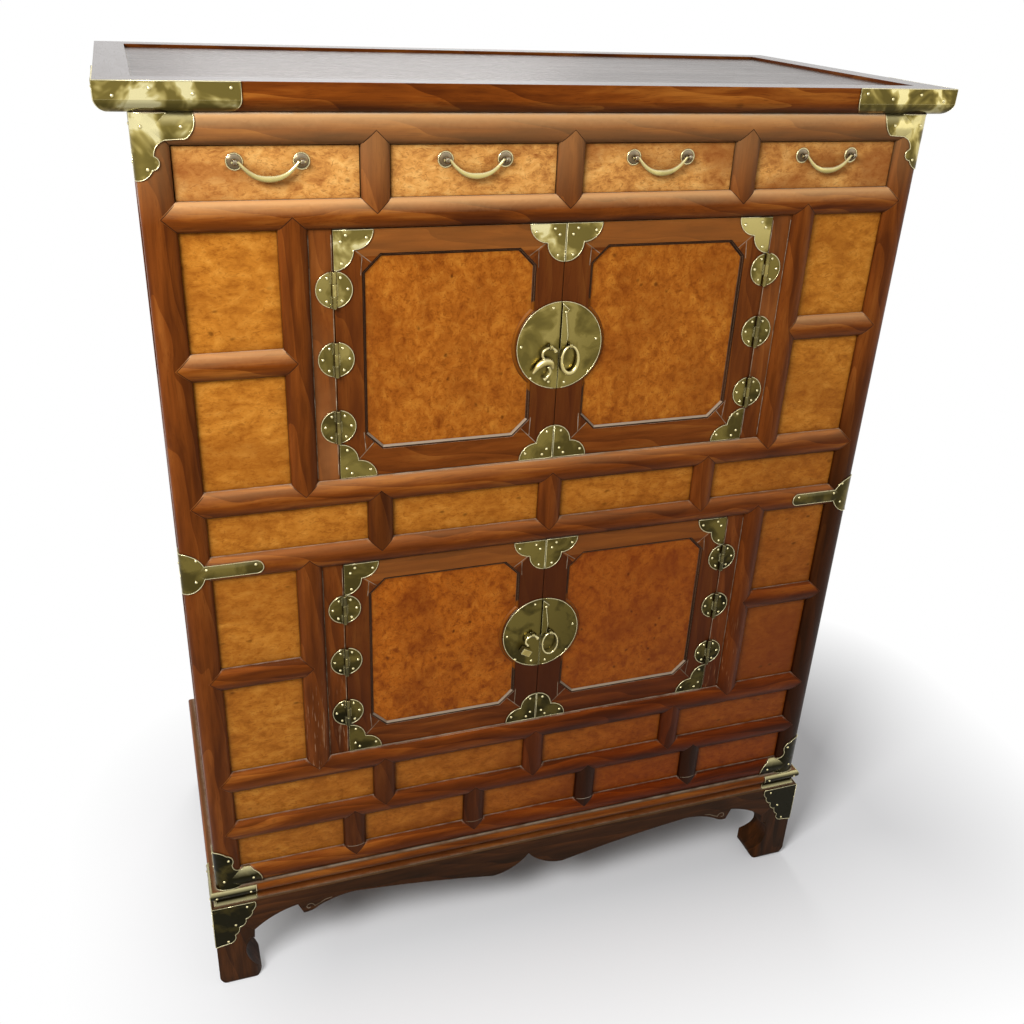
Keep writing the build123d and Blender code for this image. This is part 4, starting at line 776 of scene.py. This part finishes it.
def new_object(name, mesh, material):
    """Make a bmesh an object of the scene."""
    data = bpy.data.meshes.new(name)
    mesh.to_mesh(data)
    mesh.free()
    data.materials.append(material)
    thing = bpy.data.objects.new(name, data)
    show(thing)
    return thing


def new_piece(name, mesh, material, body, smooth=True):
    """Make a bmesh a piece that rides on a body."""
    bmesh.ops.recalc_face_normals(mesh, faces=mesh.faces)
    for face in mesh.faces:
        face.smooth = smooth
    piece = new_object(name, mesh, material)
    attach(piece, body)
    return piece


AHEAD, ASIDE = 0.6, 0.7


def from_front(x, z):
    """A ray that meets the front at x and z, in millimetres."""
    return (x * MM, -AHEAD, z * MM), (0, 1, 0)


def nail_piece(name, body, surface, rays):
    """One mesh of nails: rays are (start, direction) pairs."""
    mesh = bmesh.new()
    driven = 0
    for start, ahead in rays:
        spot, normal, _, _ = surface.ray_cast(Vector(start), Vector(ahead))
        if spot is not None:
            dome(mesh, spot, -normal if normal.dot(Vector(ahead)) > 0 else normal)
            driven += 1
    print(name, "nails:", driven, "of", len(rays))
    new_piece(name, mesh, nail_brass, body)


# %% [markdown]
# ## Nails on the corner plates
# The nails of the left corner are listed once, as seen from the front in millimetres, and mirrored to
# the right. The turned-back sides get their own short list.

# %% Nails on the corners
FRONT_NAILS = [
    (-452, 725), (-441, 710.6), (-454, 695.5), (-382.6, 710.4),
    (-449, 1253), (-371.6, 1254), (-483.6, 1246), (-408.6, 1248),
    (-461, 1217), (-422.7, 1217), (-458, 1176),
    (-451, 240), (-459.5, 202), (-419, 200),
    (-472, 177), (-424.5, 178), (-432, 150), (-450, 119), (-462.5, 89),
]
SIDE_NAILS = [
    (-205, 710), (-200, 1216), (-208, 1180), (-200, 205), (-208, 238),
    (-215, 1252), (-120, 1252), (-180, 178), (-205, 148), (-220, 110),
]
rays = [from_front(-side * x, z) for x, z in FRONT_NAILS for side in (-1, 1)]
rays += [((side * ASIDE, y * MM, z * MM), (-side, 0, 0)) for y, z in SIDE_NAILS for side in (-1, 1)]
nail_piece("corner_nails", "carcass", tree_of(["corner_brass"]), rays)

# %% [markdown]
# ## Nails on doors and hinges
# A door carries nails in its corner plates, its hinge leaves and its half of the lock plate. The
# frame's hinge leaves are nailed the same way, mirrored about the hinge line.

# %% Nails on doors
HINGE_X, LOW_HINGE, MIDDLE_HINGE, HIGH_HINGE = 274.5, 69, 2, 67
LEAF_NAILS = [(7.5, 13.5), (15.5, 0.5), (8.5, -13)]
CORNER_NAILS = [(8, 13), (14, 6), (37, 9), (9, 37)]
LOCK_NAILS = {
    "right": [(4.8, 42.6), (47.8, 6), (40.6, -36), (9, -48)],
    "left": [(10.7, 47.6), (49.9, 1), (36, -40), (11.8, -46)],
}
frame_rays = []
for door, tier, side, sign in DOORS:
    low, high = TIERS[tier]
    points = []
    for level in (low + LOW_HINGE, (low + high) / 2 + MIDDLE_HINGE, high - HIGH_HINGE):
        points += [(HINGE_X - dx, level + dz) for dx, dz in LEAF_NAILS]
        frame_rays += [from_front(sign * (HINGE_X + dx), level + dz) for dx, dz in LEAF_NAILS]
    for dx, dz in CORNER_NAILS:
        for x in (0.5 + dx, HINGE_X - 0.5 - dx):
            points += [(x, low + 1 + dz), (x, high - 1 - dz)]
    points += [(dx, low + LOCK_RISE + dz) for dx, dz in LOCK_NAILS[side]]
    door_rays = [from_front(sign * x, z) for x, z in points]
    nail_piece(f"{door}_nails", door, tree_of([f"{door}_brass"]), door_rays)
nail_piece("hinge_nails", "carcass", tree_of(["hinge_leaves"]), frame_rays)

# %% [markdown]
# ## Filed rims
# The filed edge of a plate catches the light as a thin pale line. The outline is where an outward face
# meets another at a sharp angle. The edges found are walked into chains, and a thin tube follows each.

# %% Tubes
def tube(mesh, points, radii, sides=12, closed=False, phase=0.0):
    """Sweep a circle of changing radius through points, in metres."""
    points = [Vector(point) for point in points]
    last = len(points) - 1
    rings = []
    for index, (point, radius) in enumerate(zip(points, radii)):
        before = points[index - 1] if index or closed else point
        after = points[(index + 1) % (last + 1)] if index < last or closed else point
        ahead = (after - before).normalized()
        side = ahead.cross(Vector((0, 1, 0))).normalized()
        out = side.cross(ahead)
        rings.append([mesh.verts.new(point + (side * x + out * y) * radius) for x, y in circle(sides, phase)])
    skin(mesh, rings, closed)
    if not closed:
        mesh.faces.new(list(reversed(rings[0])))
        mesh.faces.new(rings[-1])


# Metres, apart from the angle, which is in radians.
RIM_RADIUS, RIM_INSET, SHORTEST_RIM, KNUCKLE = 0.5 * MM, 0.4 * MM, 0.022, 0.0045
SHARP = 0.9


def outward(face):
    """True for the faces of a plate that show."""
    middle = face.calc_center_median()
    return face.normal.y < -0.5 or face.normal.x * math.copysign(1, middle.x) > 0.5 and abs(middle.x) > 0.45


def wanted(edge):
    """True for a sharp edge that shows, away from knuckles and lock seams."""
    if len(edge.link_faces) != 2 or edge.calc_face_angle(0) < SHARP or not any(map(outward, edge.link_faces)):
        return False
    start, stop = (vert.co for vert in edge.verts)
    beside_lock = any(abs(start.z / MM - low - LOCK_RISE) < 60 for low, _ in TIERS.values())
    upright = abs((stop - start).normalized().z) > 0.8
    at_hinge = abs(abs(start.x) - HINGE_X * MM) < KNUCKLE
    return not (abs(start.x) < 2 * MM and beside_lock or upright and at_hinge)


def outline_chains(mesh):
    """Chains of points just inside the outlines of the plates."""
    paths, shift = {}, {}
    for edge in filter(wanted, mesh.edges):
        start, stop = edge.verts
        ahead = (stop.co - start.co).normalized()
        for face in filter(outward, edge.link_faces):
            inward = face.calc_center_median() - start.co
            inward = (inward - ahead * inward.dot(ahead)).normalized()
            for vert in (start, stop):
                shift[vert] = shift.get(vert, Vector()) + inward
        paths.setdefault(start, []).append(stop)
        paths.setdefault(stop, []).append(start)
    chains = []
    while paths:
        start = next((vert for vert, ends in paths.items() if len(ends) != 2), next(iter(paths)))
        chain = [start]
        while chain[-1] in paths:
            here = chain[-1]
            after = paths[here].pop()
            paths[after].remove(here)
            for vert in (here, after):
                if not paths[vert]:
                    del paths[vert]
            chain.append(after)
            if after is start:
                break
        spots = [vert.co + shift[vert].normalized() * RIM_INSET for vert in chain]
        closed = chain[0] is chain[-1]
        if closed:
            spots.pop()
        kept = spots[:1]
        for spot in spots[1:]:
            if (spot - kept[-1]).length > RIM_INSET:
                kept.append(spot)
        if sum(math.dist(*pair) for pair in zip(kept, kept[1:])) > SHORTEST_RIM:
            chains.append((kept, closed))
    return chains


def rim_piece(name, node, body):
    """The bright rims of all plates of one node."""
    source = bmesh.new()
    source.from_mesh(nodes[node].data)
    bmesh.ops.remove_doubles(source, verts=source.verts, dist=0.01 * MM)
    source.normal_update()
    mesh = bmesh.new()
    chains = outline_chains(source)
    for spots, closed in chains:
        tube(mesh, spots, [RIM_RADIUS] * len(spots), sides=6, closed=closed)
    source.free()
    print(name, "outlines:", len(chains))
    new_piece(name, mesh, rim_brass, body)


rim_piece("corner_rims", "corner_brass", "carcass")
rim_piece("hinge_rims", "hinge_leaves", "carcass")
for door, *_ in DOORS:
    rim_piece(f"{door}_rims", f"{door}_brass", door)

# %% [markdown]
# ## Lines on the woodwork
# Old joints show as thin dark lines, and pale dust lies along a few of them. The two edges of each
# narrow ribbon are dropped on to the wood with rays, so it climbs over the rounded bars by itself.

# %% Ribbon helper
LIFT = Vector((0, -0.12 * MM, 0))
STEP = 3
STEEP_ACROSS, STEEP_ALONG = 2 * MM, 3 * MM


def lay_ribbon(mesh, surface, line, width):
    """A narrow strip along (x, z) points in millimetres, seen from the front."""
    for start, stop in zip(line, line[1:]):
        span = math.dist(start, stop)
        across = ((start[1] - stop[1]) / span * width / 2, (stop[0] - start[0]) / span * width / 2)
        steps = max(1, round(span / STEP))
        last = None
        for step in range(steps + 1):
            x, z = (a + (b - a) * step / steps for a, b in zip(start, stop))
            pair = []
            for side in (-1, 1):
                origin, ahead = from_front(x + side * across[0], z + side * across[1])
                spot = surface.ray_cast(Vector(origin), Vector(ahead))[0]
                if spot is not None:
                    pair.append(mesh.verts.new(spot + LIFT))
            level = len(pair) == 2 and abs(pair[0].co.y - pair[1].co.y) < STEEP_ACROSS
            if last and level and abs(last[0].co.y - pair[0].co.y) < STEEP_ALONG:
                mesh.faces.new((last[0], last[1], pair[1], pair[0]))
            last = pair if level else None


def ribbon_piece(name, body, surface, lines, width, material):
    """All ribbons of one kind and body in one mesh."""
    mesh = bmesh.new()
    for line in lines:
        lay_ribbon(mesh, surface, line, width)
    print(name, "strips:", len(mesh.faces))
    new_piece(name, mesh, material, body, smooth=False)


def mirrored(lines):
    """The lines and their mirror images."""
    return lines + [[(-x, z) for x, z in line] for line in lines]


# %% [markdown]
# ## Swallow-tail joints and dust
# Every upright of the framework ends in two points that reach the middle of the rail. Loops walk over
# the rows, whose levels are the middles of the rails.

# %% Seams and dust
HALF_BAR = 16
ROWS = [202, 286, 372, 706, 792, 1126, 1214]
FIVE = (-270.6, -90.2, 90.2, 270.6)
FOUR = (-225.5, 0, 225.5)
STILES = (-317.5, 317.5)
UPRIGHTS = [FIVE, FOUR, STILES, FOUR, STILES, FOUR]
POST, STILE, SHORT_RAIL = (-434, -451), (-334, -319), 153


def side_joint(edge, tip, z):
    """The pointed end of a rail on an upright."""
    return [(edge, z + HALF_BAR), (tip, z), (edge, z - HALF_BAR)]


seams = []
for low, high, places in zip(ROWS, ROWS[1:], UPRIGHTS):
    for x in places:
        for tip, way in ((low, 1), (high, -1)):
            shoulder = tip + way * HALF_BAR
            seams.append([(x - HALF_BAR, shoulder), (x, tip + way), (x + HALF_BAR, shoulder)])
seams += mirrored([side_joint(*POST, z) for z in ROWS])
bays = [low + SHORT_RAIL for low, _ in TIERS.values()]
seams += mirrored([side_joint(*ends, z) for z in bays for ends in (POST, STILE)])
starts = ("rail", "post_front", "inner_stiles", "short_rails", "row_dividers")
framework = tree_of(name for name in nodes if name.startswith(starts))
ribbon_piece("framework_seams", "carcass", framework, seams, 0.7, dark_wood)

dust = grained_wood("dust", "dust", "x")
dust_lines = [[(-417, 219), (417, 219)], [(-200, 1142.5), (-140, 1142.5)]]
for low, high in TIERS.values():
    dust_lines += mirrored([[(301, low + 4), (301, high - 6)], [(276, low + 6), (276, high - 6)]])
    dust_lines += [[(-270, low - 0.5), (290, low - 0.5)]]
ribbon_piece("dust_lines", "carcass", framework, dust_lines, 0.8, dust)

# %% [markdown]
# ## Corners of the doors
# A dark line runs from each corner of a door to the notch in its panel. A pale one goes on to the cut
# corner, and forks to the tip of the small block that carries it.

# %% Door corners
CUT, NOTCH, FORK = 21, 19, 0.45


def towards(start, stop, share):
    """A point between two others."""
    return tuple(a * (1 - share) + b * share for a, b in zip(start, stop))


for door, tier, side, sign in DOORS:
    low, high = TIERS[tier]
    dark, pale = [], []
    for x, bite_x, way_x in ((0.5, 34.5, 1), (HINGE_X - 1, 242, -1)):
        for z, bite_z, way_z in ((low + 1, low + 35, 1), (high - 1, high - 28, -1)):
            tip = (bite_x - way_x, bite_z + way_z * CUT)
            end = (bite_x + way_x * CUT, bite_z - way_z)
            notch = (x + way_x * NOTCH, z + way_z * NOTCH)
            middle = towards(tip, end, 0.5)
            fork = towards(middle, notch, FORK)
            pale += [[notch, middle], [(fork[0], fork[1] + way_z), (tip[0] - way_x, tip[1] + way_z * 3)]]
            dark.append([(x + way_x, z + way_z), notch])
    wood = tree_of([f"{door}_frame"])
    for kind, lines, material in (("seams", dark, dark_wood), ("dust", pale, dust)):
        lines = [[(sign * a, b) for a, b in line] for line in lines]
        ribbon_piece(f"{door}_{kind}", door, wood, lines, 0.7, material)

# %% [markdown]
# ## Carved curls on the apron
# Beside each hooked pendant of the front apron a small leaf is carved: a curl that runs out into a
# tail. It is drawn as a spiral and laid on the apron like the seams.

# %% Curls
CURL_X, CURL_Z, CURL_SIZE, CURL_PITCH = 343, 122, 7.5, 1.1
spiral = []
for turn in (0.45 * step for step in range(13)):
    reach = CURL_SIZE - CURL_PITCH * turn
    spiral.append((CURL_X - reach * math.cos(turn), CURL_Z + reach * math.sin(turn)))
tail = [(335.5, 122), (328, 125), (320, 130), (310, 132)]
vein = [(352, 115), (346, 130), (334, 133), (322, 136)]
apron_tree = tree_of(["apron_front"])
ribbon_piece("apron_curls", "carcass", apron_tree, mirrored([spiral, tail]), 1.1, dust)
ribbon_piece("apron_veins", "carcass", apron_tree, mirrored([vein]), 1.3, dark_wood)

# %% [markdown]
# ## Pulls
# The cast pulls have ribs and uneven thickness that the plain solids lack. One tube, with a radius for
# every point, makes them all. They take the places of the plain pulls and swing with them.

# %% Curves
def hang(mesh, eye, points, radii, steps=8, ribs=0.0, **shape):
    """A smooth tube through (x, z) points in millimetres from an eye."""
    knots = [Vector((*point, radius)) for point, radius in zip(points, radii)]
    ends = [knots[0]] + knots + [knots[-1]]
    path = []
    for a, b, c, d in zip(ends, ends[1:], ends[2:], ends[3:]):
        path += interpolate_bezier(b, b + (c - a) / 6, c - (d - b) / 6, c, steps + 1)[:-1]
    sizes = [knot.z * (1 + ribs * ((index + 1) % 2)) for index, knot in enumerate(path)] + [radii[-1]]
    spots = [(eye.x + knot.x * MM, eye.y, eye.z + knot.y * MM) for knot in path + [knots[-1]]]
    tube(mesh, spots, [size * MM for size in sizes], **shape)


# The lower rings are drawn a little larger than their solids.
WIDER, RING_STEPS = 1.15, 72
HOOK = [(6.5, -5.5), (3, -1.5), (-3, -0.5), (-9, -4), (-10.5, -10), (-7, -16)]
SPRIG = [(-22, -32), (-15, -23), (-6, -18), (1, -20), (4, -27)]
TWIG = [(-2, -24), (1, -31), (-2, -37), (-7, -41)]
BLOCK = [(-16, -21), (-4, -28)]
for tier in TIERS:
    low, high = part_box(f"ring_pull_{tier}")
    wire_radius = (high.y - low.y) / 2
    centre = (low + high) / 2
    half_x, half_z = (high.x - low.x) / 2 - wire_radius, (high.z - low.z) / 2 - wire_radius
    eye = Vector((-centre.x, centre.y, high.z - wire_radius))
    if tier == "lower":
        half_x, half_z, centre.z = half_x * WIDER, half_z * WIDER, centre.z - half_z * (WIDER - 1)
    swell, rib = (0.75, 0.16) if tier == "upper" else (0.1, 0.0)
    spots, sizes = [], []
    for step, (upward, across) in enumerate(circle(RING_STEPS)):
        spots.append((centre.x + half_x * across, centre.y, centre.z + half_z * upward))
        hanging = (1 - upward) / 2
        sizes.append(wire_radius * (0.95 + swell * hanging**1.5 + rib * hanging * (step % 2)))
    mesh = bmesh.new()
    tube(mesh, spots, sizes, closed=True)
    ring = new_piece(f"ring_{tier}", mesh, cast_brass, f"ring_pull_{tier}")
    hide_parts(f"ring_pull_{tier}")
    mesh = bmesh.new()
    hang(mesh, eye, HOOK, [2.9, 1.7, 1.5, 1.5, 1.6, 1.9])
    if tier == "upper":
        hang(mesh, eye, SPRIG, [1.2, 3.6, 5.0, 4.2, 2.0], ribs=0.09)
        hang(mesh, eye, TWIG, [2.2, 1.8, 1.4, 2.4])
    else:
        hang(mesh, eye, BLOCK, [6.4, 6.4], steps=1, sides=4, phase=math.pi / 4)
    drop = new_piece(f"sprig_{tier}", mesh, cast_brass, f"drop_pull_{tier}", smooth=tier == "upper")
    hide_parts(f"drop_pull_{tier}")
print("pulls cast")

# %% [markdown]
# ## Rims of the rosettes
# The drawer bails hang from little cups. A thin ring round each one gives it its rolled rim.

# %% Rosette rims
INSET, RIM, RIM_STEPS = 0.7 * MM, 0.8 * MM, 32
for number in range(1, 5):
    low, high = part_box(f"drawer_{number}_rosettes")
    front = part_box(f"drawer_{number}")[0].y - RIM / 2
    middle, reach = (low.z + high.z) / 2, (high.z - low.z) / 2
    lip = reach - INSET
    mesh = bmesh.new()
    for centre in (low.x + reach, high.x - reach):
        path = [(centre + lip * x, front, middle + lip * z) for x, z in circle(RIM_STEPS)]
        tube(mesh, path, [RIM] * RIM_STEPS, sides=8, closed=True)
    new_piece(f"drawer_{number}_rims", mesh, nail_brass, f"drawer_{number}")
print("rims rolled")

# %% [markdown]
# ## Floor
# A pale floor catches the shadow. Far from the chest it fades into plain white for the camera, so
# that the picture has no horizon.

# %% Floor
def seen_or_mirrored(tree):
    """1 for what the camera sees, directly or mirrored, and 0 for light."""
    path = add("LightPath", tree=tree).outputs
    return larger(larger(path["Is Camera Ray"], path["Is Glossy Ray"]), path["Is Transmission Ray"])


SHADE_MIDDLE, SHADE_HALF, FADE = (0.2, -0.05, 0), (0.5, 0.18, 0), 0.4
pale_floor = bpy.data.materials.new("pale_floor")
pale_floor.use_nodes = True
tree = pale_floor.node_tree
tree.nodes.clear()
offset = apart(add("NewGeometry", tree=tree).outputs["Position"], SHADE_MIDDLE)
offset = arithmetic("ABSOLUTE", "VectorMath")(offset)
beyond = arithmetic("MAXIMUM", "VectorMath")(apart(offset, SHADE_HALF), (0, 0, 0))
fade = remap(length(beyond), 0.0, FADE)
matte = add("BsdfDiffuse", {"Color": (0.86, 0.86, 0.87, 1)}, tree).outputs[0]
glow = add("Emission", {"Color": (1, 1, 1, 1), "Strength": 1.0}, tree).outputs[0]
mixed = add("MixShader", {0: times(fade, seen_or_mirrored(tree)), 1: matte, 2: glow}).outputs[0]
add("OutputMaterial", {"Surface": mixed})
mesh = bmesh.new()
bmesh.ops.create_grid(mesh, x_segments=8, y_segments=8, size=12)
floor = new_object("studio_floor", mesh, pale_floor)
print("floor laid")

# %% [markdown]
# ## Sky and lamps
# One large soft lamp stands high in front on the left, a weak one on the right and one behind. The sky
# looks white, but sheds only a third of that as light.

# %% Sky and lamps
SKY_LIGHT = 0.3
world = bpy.data.worlds.new("studio")
bpy.context.scene.world = world
world.use_nodes = True
tree = world.node_tree
tree.nodes.clear()
strength = remap(seen_or_mirrored(tree), 0.0, 1.0, SKY_LIGHT, 1.0)
sky = add("Background", {"Color": (1, 1, 1, 1), "Strength": strength}).outputs[0]
add("OutputWorld", {"Surface": sky})


def lamp(name, place, target, size, power):
    """A square soft box aimed at a point."""
    data = bpy.data.lights.new(name, "AREA")
    data.shape = "SQUARE"
    data.size = size
    data.energy = power
    box_light = bpy.data.objects.new(name, data)
    box_light.location = place
    box_light.rotation_euler = (Vector(target) - Vector(place)).to_track_quat("-Z", "Y").to_euler()
    show(box_light)


lamp("key", (-1.6, -1.5, 2.2), (-0.1, -0.2, 0.75), 0.9, 66)
lamp("fill", (2.4, -2.2, 1.6), (0, 0, 0.6), 1.6, 4)
lamp("rim", (0.4, 2.6, 2.8), (0, 0, 0.9), 1.4, 30)
print("lamps lit")
